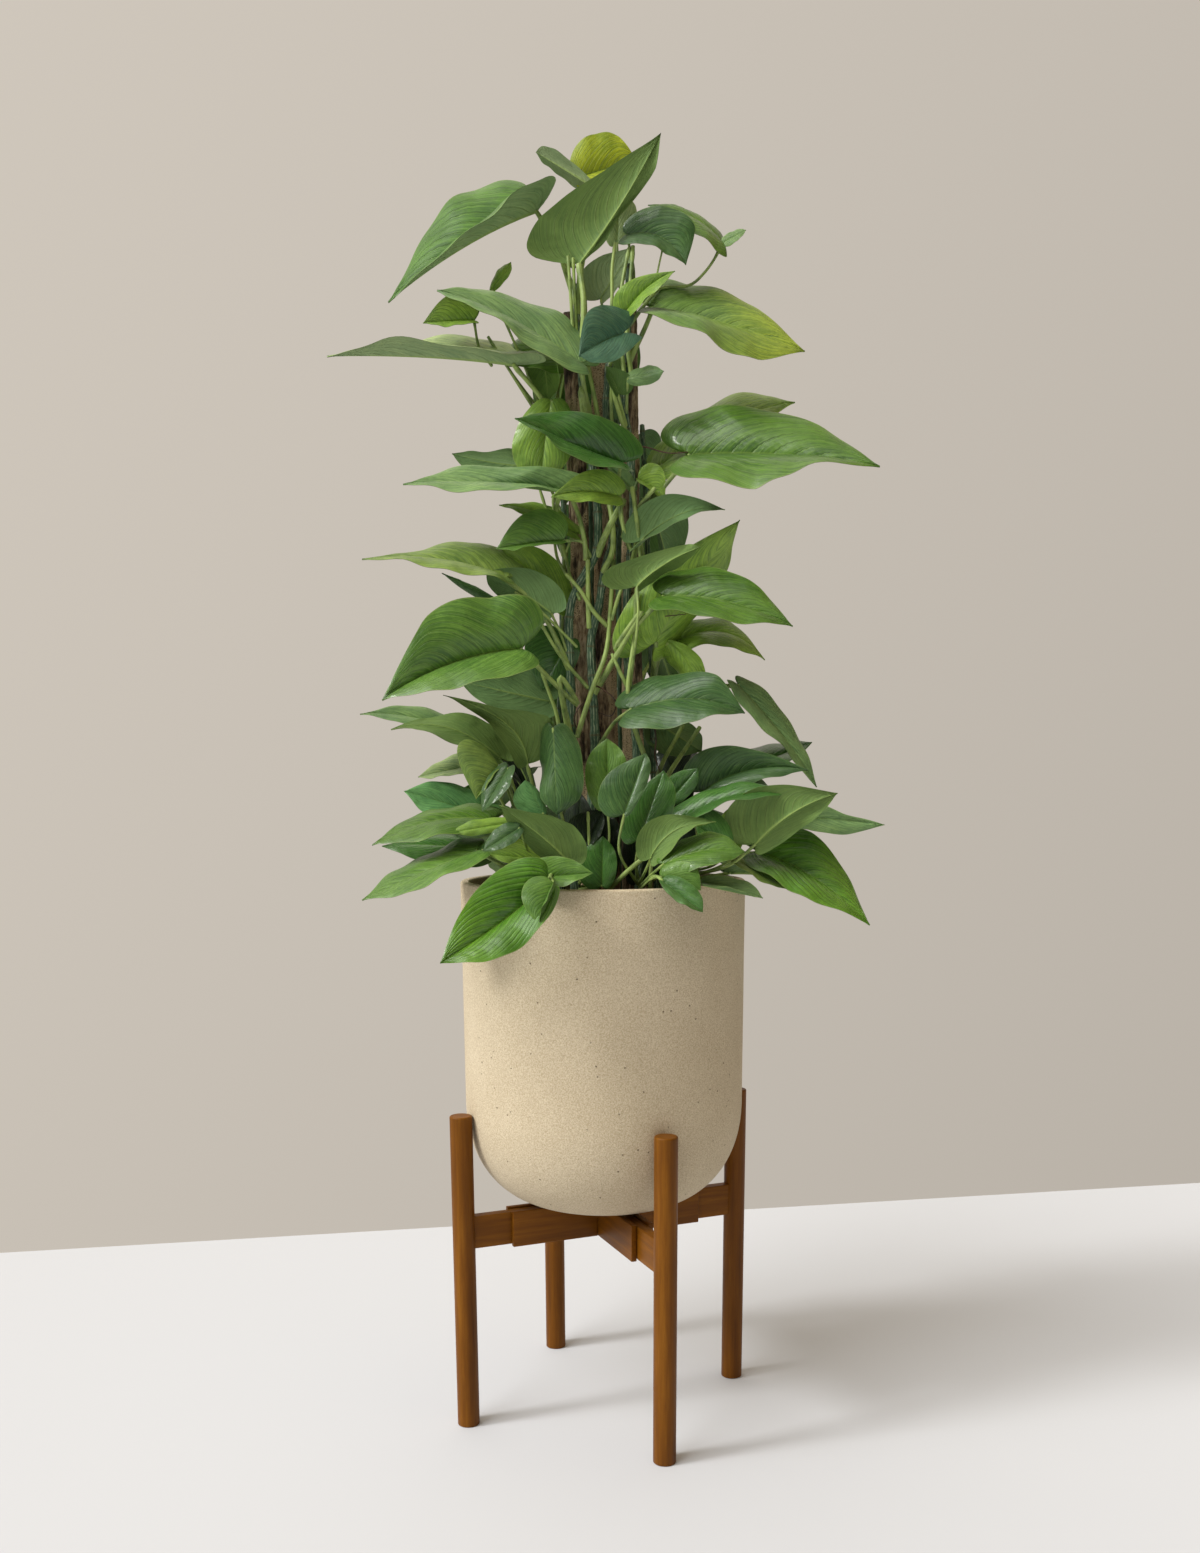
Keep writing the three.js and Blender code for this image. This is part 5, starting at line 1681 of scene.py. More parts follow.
@dataclass(frozen=True)
class Lamp:
    """A far lamp on the camera's side of the plant.

    side is how far round to the left of the camera it stands, height how far above the floor's level,
    and spread how wide it looks from the plant, all in degrees.
    """

    name: str
    side: float
    height: float
    strength: float
    spread: float
    tint: Triple = (1.0, 1.0, 1.0)

    def build(self) -> None:
        """Makes the lamp."""
        lamp = bpy.data.lights.new(self.name, "SUN")
        lamp.energy = self.strength
        lamp.angle = math.radians(self.spread)
        lamp.color = self.tint
        turn, lift = math.radians(self.side), math.radians(self.height)
        way = Vector((math.sin(turn) * math.cos(lift), math.cos(turn) * math.cos(lift), -math.sin(lift)))
        placed(self.name, lamp).matrix_world = way.to_track_quat("-Z", "Y").to_matrix().to_4x4()


@dataclass
class Studio:
    """The pale floor, the warm grey wall colour behind it, the lights and the camera."""

    floor_paint: Colour = colour(204, 207, 212)
    wall_paint: Colour = colour(199, 191, 180)
    side_paint: Colour = colour(214, 184, 136)
    wall_line: Tuple[Place, Place] = ((-875.0, 490.0), (1016.0, 819.0))
    reach: float = 9000.0
    sink: float = 0.2
    lamps: Tuple[Lamp, ...] = (
        Lamp("key_lamp", 70.0, 38.0, 1.52, 11.0, (1.0, 0.985, 0.965)),
        Lamp("soft_lamp", 55.0, 47.0, 1.76, 42.0),
    )

    def floor(self) -> None:
        """Makes the floor, which ends where the wall's colour begins."""
        start, end = np.array(self.wall_line)
        way = (end - start) / math.hypot(*(end - start))
        left = start - way * self.reach
        right = end + way * self.reach
        corners = [(*left, 0), (*right, 0), (right[0], -self.reach, 0), (left[0], -self.reach, 0)]
        draft = Draft()
        draft.add(np.array(corners, dtype=float), [(3, 2, 1, 0)])
        paint = StudioFinish("floor_paint", self.floor_paint).material()
        made = draft.piece("studio_floor", [paint], weld=0.0)
        made.location.z = -self.sink * METRE

    def air(self) -> None:
        """Makes the light from all round: the wall behind the plant, a little darker low and to the right,
        and a much darker room on the other sides, which from any side still looks like the wall."""
        world = bpy.data.worlds.new("studio_air")
        world.use_nodes = True
        sheet = NodeSheet("studio_air", world.node_tree)
        right, away, up = sheet.split(sheet.node("ShaderNodeTexCoord", output="Generated"))
        wall = 0.97 - right * 0.2 + up * 0.13
        looked_at = sheet.node("ShaderNodeLightPath", output="Is Camera Ray")
        seen = 1 - (1 - away.step(0.4, 0.8)) * (1 - looked_at)
        room = 0.48 - right.step(-0.7, 0.3) * 0.34
        above = up.step(0.5, 0.8) * (1 - right.step(-0.4, 0.4) * 0.55) * 1.95
        paint = (right.step(0.0, 0.7) * (1 - seen)).between(self.wall_paint, self.side_paint)
        air = world.node_tree.nodes["Background"]
        sheet.feed(air.inputs["Color"], paint)
        sheet.feed(air.inputs["Strength"], seen * (wall - room) + above + room)
        bpy.context.scene.world = world

    def build(self) -> None:
        """Makes the studio."""
        self.floor()
        for lamp in self.lamps:
            lamp.build()
        self.air()
        VIEW.camera()
        bpy.context.scene.view_settings.view_transform = "Standard"


LEAVES: Dict[str, Tuple[SeenLeaf, ...]] = {
    "vine_middle": (
        SeenLeaf("crown_olive", Tone.PALE, (601, 299, 8), (634, 247, 12), ((583, 270), (624, 280)),
            joint=350, width=0.3, top=Face.AWAY),
        SeenLeaf("crown_teal", Tone.TEAL, (622, 334, -40), (579, 356, -80), ((598, 306), (618, 358)),
            joint=365, middle=(600, 343), late=((583, 322), (592, 362)), width=0.36, lobe=0.34),
        SeenLeaf("middle_glossy", Tone.DEEP, (621, 463, -42), (515, 418, -76), ((600, 416), (577, 456)),
            joint=500, middle=(563, 441), late=((545, 412), (540, 433))),
        SeenLeaf("right_arched", Tone.BRIGHT, (664, 596, -53), (793, 626, -88), ((712, 568), (703, 616)),
            joint=695, middle=(728, 602), late=((762, 590), (757, 621)),
            via=((642, 610, -49), (615, 648, -36)), width=0.26),
        SeenLeaf("right_spoon", Tone.SLATE, (632, 709, -52), (745, 713, -78), ((664, 677), (676, 725)),
            joint=755, middle=(692, 699), late=((718, 676), (712, 716)), via=((614, 723, -40),)),
    ),
    "vine_left": (
        SeenLeaf("crown_left_folded", Tone.SILVER, (536, 211, 8), (388, 302, -20), ((462, 193), (508, 193)),
            joint=300, middle=(461, 248), late=((420, 243), (448, 250)),
            via=((556, 236, 10), (574, 268, 8)), lobe=0.02, top=Face.UP),
        SeenLeaf("crown_tall", Tone.OLIVE, (580, 264, -16), (661, 133, -34), ((621, 214), (540, 216)),
            joint=310, middle=(617, 211), late=((655, 169), (604, 172)), width=0.13, lobe=0.03,
            top=Face.AWAY),
        SeenLeaf("crown_lime", Tone.LIME, (578, 177, 14), (637, 160, 22), ((595, 134), (612, 190)),
            joint=295, late=((620, 137), (630, 180)), via=((584, 240, 10),), width=0.36),
        SeenLeaf("crown_curl", Tone.PALE, (592, 186, 0), (536, 152, -4), ((562, 178), (556, 151)),
            joint=290, middle=(563, 168), via=((588, 235, 0),), top=Face.AWAY),
        SeenLeaf("crown_left", Tone.SAGE, (580, 362, -44), (437, 290, -52), ((548, 309), (518, 336)),
            joint=445, middle=(511, 320), late=((478, 286), (470, 305)),
            via=((580, 388, -42), (588, 415, -32)), width=0.28),
        SeenLeaf("middle_trough", Tone.MID, (563, 541, -42), (496, 549, -52), ((535, 509), (530, 547)),
            joint=560, via=((582, 542, -36),), width=0.25),
        SeenLeaf("middle_left_long", Tone.OLIVE, (505, 578, -46), (362, 559, -70), ((480, 542), (455, 568)),
            joint=672, middle=(440, 561), late=((415, 551), (405, 561)), via=((540, 610, -36),)),
        SeenLeaf("middle_striped", Tone.SAGE, (551, 613, -38), (486, 571, -46), ((503, 600), (545, 575)),
            joint=665, middle=(518, 590), via=((560, 632, -30),), width=0.3, top=Face.AWAY),
        SeenLeaf("low_left_big", Tone.MID, (520, 649, -84), (382, 700, -120), ((490, 598), (480, 684)),
            joint=745, middle=(450, 664), late=((424, 620), (425, 689)),
            via=((560, 677, -62), (578, 705, -44))),
    ),
    "vine_right": (
        SeenLeaf("crown_back", Tone.PALE, (617, 243, 28), (620, 194, 32), ((604, 222), (637, 214)),
            joint=296, via=((623, 292, 8), (618, 282, 22))),
        SeenLeaf("crown_fan", Tone.SLATE, (627, 235, -12), (686, 265, -28), ((664, 206), (652, 246)),
            joint=320, middle=(662, 238), late=((695, 228), (672, 255)), via=((634, 275, -12),),
            width=0.24),
        SeenLeaf("crown_fan_back", Tone.BRIGHT, (722, 242, 0), (648, 205, 10), ((700, 216), (700, 237)),
            joint=325, middle=(690, 216),
            via=((650, 298, -12), (662, 288, 0), (690, 285, 0), (705, 272, 0), (716, 256, 0))),
        SeenLeaf("crown_bud", Tone.SAGE, (722, 243, 0), (746, 230, -4), ((732, 231), (734, 243)),
            start=(716, 256, 0)),
        SeenLeaf("crown_small", Tone.FRESH, (628, 309, -24), (675, 271, -34), ((622, 286), (648, 298)),
            joint=345, middle=(648, 287)),
        SeenLeaf("crown_right", Tone.TURNING, (653, 308, -10), (805, 351, -36), ((690, 286), (708, 331)),
            joint=365, middle=(727, 324), late=((757, 305), (760, 360)), via=((645, 328, -14),)),
        SeenLeaf("crown_lobe_left", Tone.MID, (618, 394, -30), (606, 366, -38), ((632, 378), (609, 384)),
            joint=430, width=0.6, top=Face.AWAY),
        SeenLeaf("crown_lobe_right", Tone.SAGE, (628, 378, -34), (664, 371, -44), ((645, 366), (648, 385)),
            joint=415),
        SeenLeaf("middle_edge_on", Tone.FRESH, (618, 496, -46), (551, 497, -84), ((599, 469), (594, 503)),
            joint=552, middle=(586, 491), via=((621, 522, -34),), width=0.2),
        SeenLeaf("middle_small_left", Tone.SAGE, (634, 491, -24), (604, 460, -22), ((624, 466), (617, 481)),
            joint=575, via=((637, 530, -32),), width=0.2),
        SeenLeaf("middle_small_right", Tone.FRESH, (638, 479, -24), (665, 498, -32),
            ((660, 466), (650, 490)), start=(634, 491, -24), width=0.45),
        SeenLeaf("right_big", Tone.BRIGHT, (690, 455, -30), (880, 466, -84), ((732, 408), (757, 484)),
            joint=568, middle=(785, 455), late=((822, 425), (812, 463)),
            via=((657, 483, -22), (634, 522, -27))),
        SeenLeaf("right_underside", Tone.OLIVE, (637, 586, -56), (700, 547, -70), ((668, 571), (612, 566)),
            joint=690, middle=(664, 564), late=((692, 556), (688, 544)),
            via=((634, 655, -48), (638, 616, -61)), top=Face.AWAY),
    ),
    "vine_far_right": (
        SeenLeaf("right_back", Tone.FRESH, (663, 465, 14), (795, 402, 30), ((695, 411), (700, 458)),
            joint=520, middle=(725, 424), late=((755, 394), (750, 428)), via=((654, 482, 10),)),
        SeenLeaf("right_dull", Tone.SAGE, (641, 541, -40), (725, 510, -44), ((652, 499), (668, 526)),
            joint=590, middle=(685, 513), width=0.18, top=Face.AWAY),
        SeenLeaf("right_upright", Tone.FRESH, (656, 642, -30), (740, 520, -36), ((706, 606), (632, 596)),
            joint=700, middle=(700, 575), via=((655, 670, -8),), width=0.25),
        SeenLeaf("right_light", Tone.FRESH, (672, 643, -2), (765, 660, -16), ((706, 616), (708, 646)),
            joint=690, middle=(722, 632), via=((661, 655, 2),)),
        SeenLeaf("right_hanging", Tone.FRESH, (668, 643, -24), (694, 702, -34), ((673, 668), (702, 660)),
            joint=685, middle=(688, 666), via=((660, 652, -14),)),
        SeenLeaf("right_drooping", Tone.SAGE, (739, 686, -16), (817, 787, -32), ((784, 712), (761, 724)),
            joint=725, middle=(780, 732), via=((700, 688, -2),), width=0.14),
        SeenLeaf("right_grey", Tone.SAGE, (656, 723, 16), (702, 752, 10), ((692, 724), (658, 752)),
            joint=765, width=0.5, top=Face.AWAY),
    ),
    "vine_far_left": (
        SeenLeaf("crown_left_twig", Tone.FRESH, (492, 290, 4), (511, 262, 2), ((497, 272), (508, 277)),
            joint=450, via=((487, 335, 6), (508, 368, 8), (538, 405, 6))),
        SeenLeaf("crown_left_olive", Tone.FRESH, (474, 321, -2), (423, 323, -12), ((457, 292), (455, 325)),
            via=((480, 350, 2),), start=(492, 366, 6)),
        SeenLeaf("crown_left_long", Tone.PALE, (513, 364, -12), (327, 356, 14), ((468, 338), (475, 345)),
            joint=462, middle=(420, 356), late=((383, 346), (385, 341)), via=((547, 408, -8),), width=0.24,
            top=Face.UP),
        SeenLeaf("crown_left_behind", Tone.BRIGHT, (566, 358, 14), (498, 364, 6), ((540, 329), (535, 369)),
            joint=446, middle=(532, 350), via=((556, 405, 12),), width=0.4),
        SeenLeaf("crown_left_hanging", Tone.FRESH, (545, 362, 12), (549, 401, 8), ((526, 374), (560, 376)),
            joint=440, via=((556, 385, 16),), width=0.5, top=Face.AWAY),
        SeenLeaf("middle_lime", Tone.FRESH, (551, 400, -16), (541, 482, -20), ((512, 447), (573, 447)),
            joint=470, middle=(545, 440), via=((560, 418, -10),)),
        SeenLeaf("middle_pale", Tone.SAGE, (542, 468, 10), (452, 454, 4), ((508, 448), (497, 478)),
            joint=520, middle=(497, 464), late=((470, 453), (466, 470)), top=Face.AWAY),
        SeenLeaf("middle_long", Tone.SAGE, (560, 492, -34), (403, 484, -50), ((537, 466), (510, 488)),
            joint=555, middle=(480, 483), late=((450, 470), (447, 487)), via=((556, 515, -20),),
            width=0.24),
        SeenLeaf("middle_curl", Tone.FRESH, (574, 532, -17), (499, 505, -20), ((553, 508), (540, 522)),
            joint=575, middle=(535, 512), via=((565, 556, -12),), width=0.2),
        SeenLeaf("middle_dark", Tone.FRESH, (563, 604, -14), (502, 550, -20), ((552, 556), (536, 590)),
            joint=645, middle=(533, 572), width=0.2),
        SeenLeaf("middle_sliver", Tone.SLATE, (530, 617, -8), (442, 573, -14), ((492, 596), (486, 603)),
            joint=660, via=((548, 632, -4),), width=0.12),
        SeenLeaf("low_left_dark", Tone.DEEP, (568, 640, -13), (542, 690, -14), ((526, 640), (574, 668)),
            joint=690, width=0.3),
        SeenLeaf("low_left_striped", Tone.SAGE, (550, 702, -16), (458, 681, -30), ((522, 668), (512, 718)),
            joint=745, middle=(505, 692), top=Face.AWAY),
    ),
    "shoot_left": (
        SeenLeaf("low_left_tail_far", Tone.SAGE, (470, 738, -14), (360, 714, -40), ((440, 710), (436, 730)),
            joint=850, middle=(415, 718), via=((508, 790, -6),), width=0.2, top=Face.UP),
        SeenLeaf("low_left_tail", Tone.OLIVE, (499, 758, -40), (391, 730, -64), ((474, 717), (462, 745)),
            joint=852, middle=(447, 728), late=((424, 718), (418, 730)), via=((515, 805, -16),), width=0.24,
            top=Face.AWAY),
        SeenLeaf("low_left_pale", Tone.PALE, (484, 764, -6), (418, 777, -18), ((456, 754), (455, 775)),
            joint=855, via=((508, 815, -2),)),
        SeenLeaf("low_left_broad", Tone.MINT, (482, 814, -24), (404, 791, -42), ((455, 783), (445, 822)),
            joint=862, via=((506, 845, -10),)),
        SeenLeaf("low_left_shade", Tone.DEEP, (482, 850, -52), (382, 846, -76), ((450, 834), (448, 866)),
            joint=870, middle=(432, 845), via=((505, 868, -28),)),
    ),
    "shoot_front_left": (
        SeenLeaf("low_left_corner", Tone.OLIVE, (527, 764, -84), (443, 695, -104), ((548, 716), (500, 736)),
            joint=868, middle=(504, 722), late=((498, 708), (468, 708)), via=((535, 800, -76),), width=0.2,
            lobe=0.02, top=Face.AWAY),
        SeenLeaf("low_left_wedge", Tone.OLIVE, (499, 767, -88), (476, 799, -96), ((458, 745), (491, 780)),
            joint=866, via=((516, 815, -78),)),
        SeenLeaf("low_left_cup", Tone.SLATE, (508, 768, -100), (482, 812, -108), ((486, 780), (507, 788)),
            joint=868, via=((522, 815, -84),), width=0.3),
        SeenLeaf("low_left_mint", Tone.MINT, (543, 813, -104), (525, 780, -106), ((541, 794), (514, 804)),
            joint=868, width=0.3),
        SeenLeaf("low_left_arched", Tone.BRIGHT, (488, 819, -92), (372, 845, -114),
            ((450, 804), (443, 836)), joint=870, middle=(428, 822), via=((512, 848, -76),)),
        SeenLeaf("low_left_bright", Tone.FRESH, (513, 822, -116), (450, 833, -126),
            ((480, 819), (482, 834)), joint=872, via=((525, 852, -92),), width=0.2),
        SeenLeaf("low_left_slate", Tone.SLATE, (519, 828, -134), (483, 851, -142), ((497, 828), (508, 846)),
            joint=874, via=((530, 858, -100),)),
        SeenLeaf("low_left_outer", Tone.MID, (476, 851, -118), (362, 900, -146), ((428, 851), (440, 880)),
            joint=880, middle=(419, 874), via=((508, 868, -90),)),
        SeenLeaf("low_left_inner", Tone.FRESH, (553, 862, -112), (482, 853, -120), ((522, 840), (528, 868)),
            joint=876, via=((545, 872, -90),)),
        SeenLeaf("low_front_olive", Tone.OLIVE, (571, 865, -128), (499, 805, -140),
            ((524, 843), (572, 824)), joint=884, middle=(542, 836), late=((511, 826), (533, 813)),
            via=((548, 876, -98),), top=Face.AWAY),
        SeenLeaf("low_front_tongue", Tone.MID, (532, 878, -138), (593, 873, -150), ((553, 856), (556, 886)),
            joint=886, via=((530, 874, -104),)),
        SeenLeaf("low_over_rim", Tone.VIVID, (546, 885, -166), (440, 963, -205), ((488, 878), (522, 944)),
            joint=886, middle=(497, 925), via=((552, 872, -128),)),
        SeenLeaf("low_over_rim_small", Tone.MID, (554, 884, -176), (538, 925, -194),
            ((522, 890), (545, 902)), joint=888, via=((548, 874, -130),)),
    ),
    "shoot_front": (
        SeenLeaf("low_centre_tall", Tone.SLATE, (553, 728, -104), (557, 815, -118),
            ((540, 768), (583, 770)), joint=866, late=((542, 800), (578, 800)), via=((556, 790, -92),)),
        SeenLeaf("low_centre_dark", Tone.MID, (608, 808, -96), (607, 738, -86), ((585, 772), (628, 770)),
            joint=886, via=((607, 850, -94),)),
        SeenLeaf("low_centre_foot", Tone.DEEP, (602, 886, -104), (603, 836, -98), ((577, 864), (617, 862)),
            joint=890),
        # the wedge and the inner leaves here are near black: painted shade for the plant's shadowed depths
        SeenLeaf("low_centre_wedge", Tone.DARK, (583, 848, -92), (604, 809, -88), ((568, 822), (600, 834)),
            joint=872),
        SeenLeaf("low_inner_left", Tone.DARK, (577, 876, -68), (580, 792, -54), ((558, 838), (597, 836)),
            joint=888, width=0.34),
        SeenLeaf("low_inner_middle", Tone.DARK, (602, 882, -62), (606, 806, -50), ((584, 846), (621, 846)),
            joint=888, width=0.34),
    ),
    "shoot_front_right": (
        SeenLeaf("low_centre_bright", Tone.SLATE, (624, 814, -124), (646, 753, -112),
            ((648, 780), (601, 784)), joint=886, via=((619, 850, -116),), width=0.2),
        SeenLeaf("low_centre_glossy", Tone.DEEP, (640, 838, -106), (664, 770, -96),
            ((674, 808), (624, 812)), joint=880, via=((636, 862, -96),)),
        # the inner leaves here are near black: painted shade for the plant's shadowed depths
        SeenLeaf("low_inner_right", Tone.DARK, (640, 880, -66), (646, 796, -54), ((622, 842), (662, 842)),
            joint=888, width=0.34),
        SeenLeaf("low_inner_far", Tone.DARK, (664, 874, -72), (684, 806, -62), ((655, 838), (694, 846)),
            joint=888, width=0.34),
        SeenLeaf("low_right_fold", Tone.OLIVE, (651, 858, -128), (716, 822, -142), ((648, 822), (682, 838)),
            joint=884, middle=(676, 830), via=((644, 874, -108),), top=Face.AWAY),
        SeenLeaf("low_right_bright", Tone.BRIGHT, (664, 864, -142), (746, 852, -152),
            ((697, 833), (706, 867)), joint=888, middle=(706, 850), via=((652, 874, -124),)),
        SeenLeaf("low_rim_inner", Tone.MID, (662, 878, -152), (701, 890, -162), ((690, 863), (678, 888)),
            joint=888, via=((654, 876, -130),), width=0.4),
        SeenLeaf("low_rim_over", Tone.DEEP, (663, 881, -164), (703, 912, -184), ((694, 886), (678, 901)),
            joint=890, via=((656, 877, -144),)),
    ),
    "shoot_right": (
        SeenLeaf("low_right_hood", Tone.SLATE, (702, 792, -50), (808, 770, -80), ((710, 748), (752, 784)),
            joint=852, middle=(750, 770), via=((697, 820, -44),), width=0.22),
        SeenLeaf("low_right_shade", Tone.DEEP, (668, 802, -60), (698, 768, -66), ((667, 779), (692, 792)),
            joint=860, via=((674, 830, -50),)),
        SeenLeaf("low_right_olive", Tone.OLIVE, (756, 844, -86), (838, 793, -112), ((805, 826), (742, 794)),
            joint=876, middle=(794, 812), via=((728, 866, -64),), width=0.22, top=Face.AWAY),
        SeenLeaf("low_right_long", Tone.DEEP, (684, 817, -80), (800, 792, -94), ((708, 788), (722, 806)),
            joint=866, middle=(738, 794), via=((684, 842, -60),), width=0.2),
        SeenLeaf("low_right_yellow", Tone.FRESH, (729, 853, -56), (738, 803, -50), ((717, 826), (746, 832)),
            joint=872, via=((712, 866, -48),)),
        SeenLeaf("low_right_inner", Tone.DEEP, (730, 848, -96), (694, 822, -98), ((717, 812), (708, 845)),
            joint=870, via=((712, 862, -72),)),
        SeenLeaf("low_rim_right", Tone.SAGE, (703, 884, -136), (763, 898, -146), ((738, 878), (730, 889)),
            joint=880, via=((694, 878, -96),)),
        SeenLeaf("low_rim_far", Tone.OLIVE, (734, 859, -60), (793, 891, -74), ((760, 866), (754, 876)),
            joint=878, via=((716, 868, -52),), width=0.2),
    ),
    "shoot_far_right": (
        SeenLeaf("low_right_hood_back", Tone.DEEP, (728, 772, 14), (812, 742, 4), ((760, 746), (770, 772)),
            joint=850, middle=(775, 757), via=((708, 810, 18),)),
        SeenLeaf("low_right_tail", Tone.SAGE, (768, 816, -44), (885, 825, -66), ((805, 797), (808, 830)),
            joint=862, middle=(828, 819), late=((845, 814), (848, 834)), via=((722, 836, -12),),
            width=0.15),
        SeenLeaf("low_right_outer", Tone.VIVID, (762, 853, -40), (870, 925, -88), ((812, 833), (786, 887)),
            joint=870, middle=(818, 880), late=((850, 880), (825, 903)), via=((734, 855, -12),)),
    ),
}

STEMS: Tuple[Stem, ...] = (
    Stem("vine_middle", (-8, -28), 5, (
        (592, 800, -24), (595, 745, -22), (593, 690, -21), (591, 640, -20), (599, 605, -20),
        (604, 572, -20), (611, 548, -19), (615, 505, -18), (611, 450, -17), (606, 415, -17),
        (608, 375, -16), (612, 338, -14))),
    Stem("vine_left", (-28, -26), 5, (
        (573, 800, -24), (571, 700, -24), (571, 604, -24), (584, 576, -25), (596, 552, -26),
        (597, 500, -20), (590, 450, -18), (584, 400, -18), (580, 360, -17), (577, 320, -14),
        (577, 285, -12))),
    Stem("vine_right", (36, -25), 4.6, (
        (637, 800, -23), (636, 740, -21), (629, 690, -21), (627, 640, -20), (627, 590, -20),
        (631, 545, -20), (633, 500, -18), (629, 440, -17), (624, 400, -18), (627, 350, -16),
        (628, 300, -14), (629, 265, -12))),
    Stem("vine_far_right", (56, 6), 3.6, (
        (654, 800, 6), (653, 720, 6), (651, 640, 6), (648, 560, 6), (645, 480, 6), (642, 425, 6))),
    Stem("vine_far_left", (-42, 4), 3.6, (
        (561, 800, 4), (560, 720, 4), (561, 660, 4), (563, 600, 4), (565, 540, 4), (562, 480, 4),
        (560, 432, 4))),
    Stem("shoot_left", (-78, 0), 4.5, ((526, 868, 0), (524, 838, -2))),
    Stem("shoot_front_left", (-66, -62), 4.5, ((532, 880, -62), (530, 862, -64))),
    Stem("shoot_front", (-24, -80), 4.5, ((576, 880, -80), (577, 862, -80))),
    Stem("shoot_front_right", (38, -78), 4.5, ((638, 880, -80), (640, 862, -80))),
    Stem("shoot_right", (84, -34), 4.5, ((684, 880, -36), (688, 850, -38))),
    Stem("shoot_far_right", (88, 22), 4.5, ((684, 868, 22), (688, 838, 20))),
)

AIR_ROOTS: Tuple[AirRoot, ...] = (
    AirRoot("vine_right", ((630, 446, -20), (645, 447, -26), (668, 453, -30), (690, 452, -30))),
    AirRoot("vine_right", ((628, 622, -22), (645, 618, -28), (668, 616, -34), (686, 614, -38))),
    AirRoot("vine_middle", (
        (592, 684, -24), (604, 690, -34), (616, 702, -36), (611, 716, -30), (598, 712, -28))),
    AirRoot("vine_middle", ((592, 700, -24), (580, 706, -30), (574, 722, -30), (583, 734, -28))),
    AirRoot("vine_right", (
        (632, 706, -22), (650, 716, -30), (656, 738, -32), (655, 756, -30), (662, 776, -30)), 1.2),
)


@dataclass(frozen=True)
class LooseStalk:
    """A stalk among the stems whose leaf is hidden or out of sight, by picture points with their depth."""

    thick: float
    points: Tuple[Triple, ...]


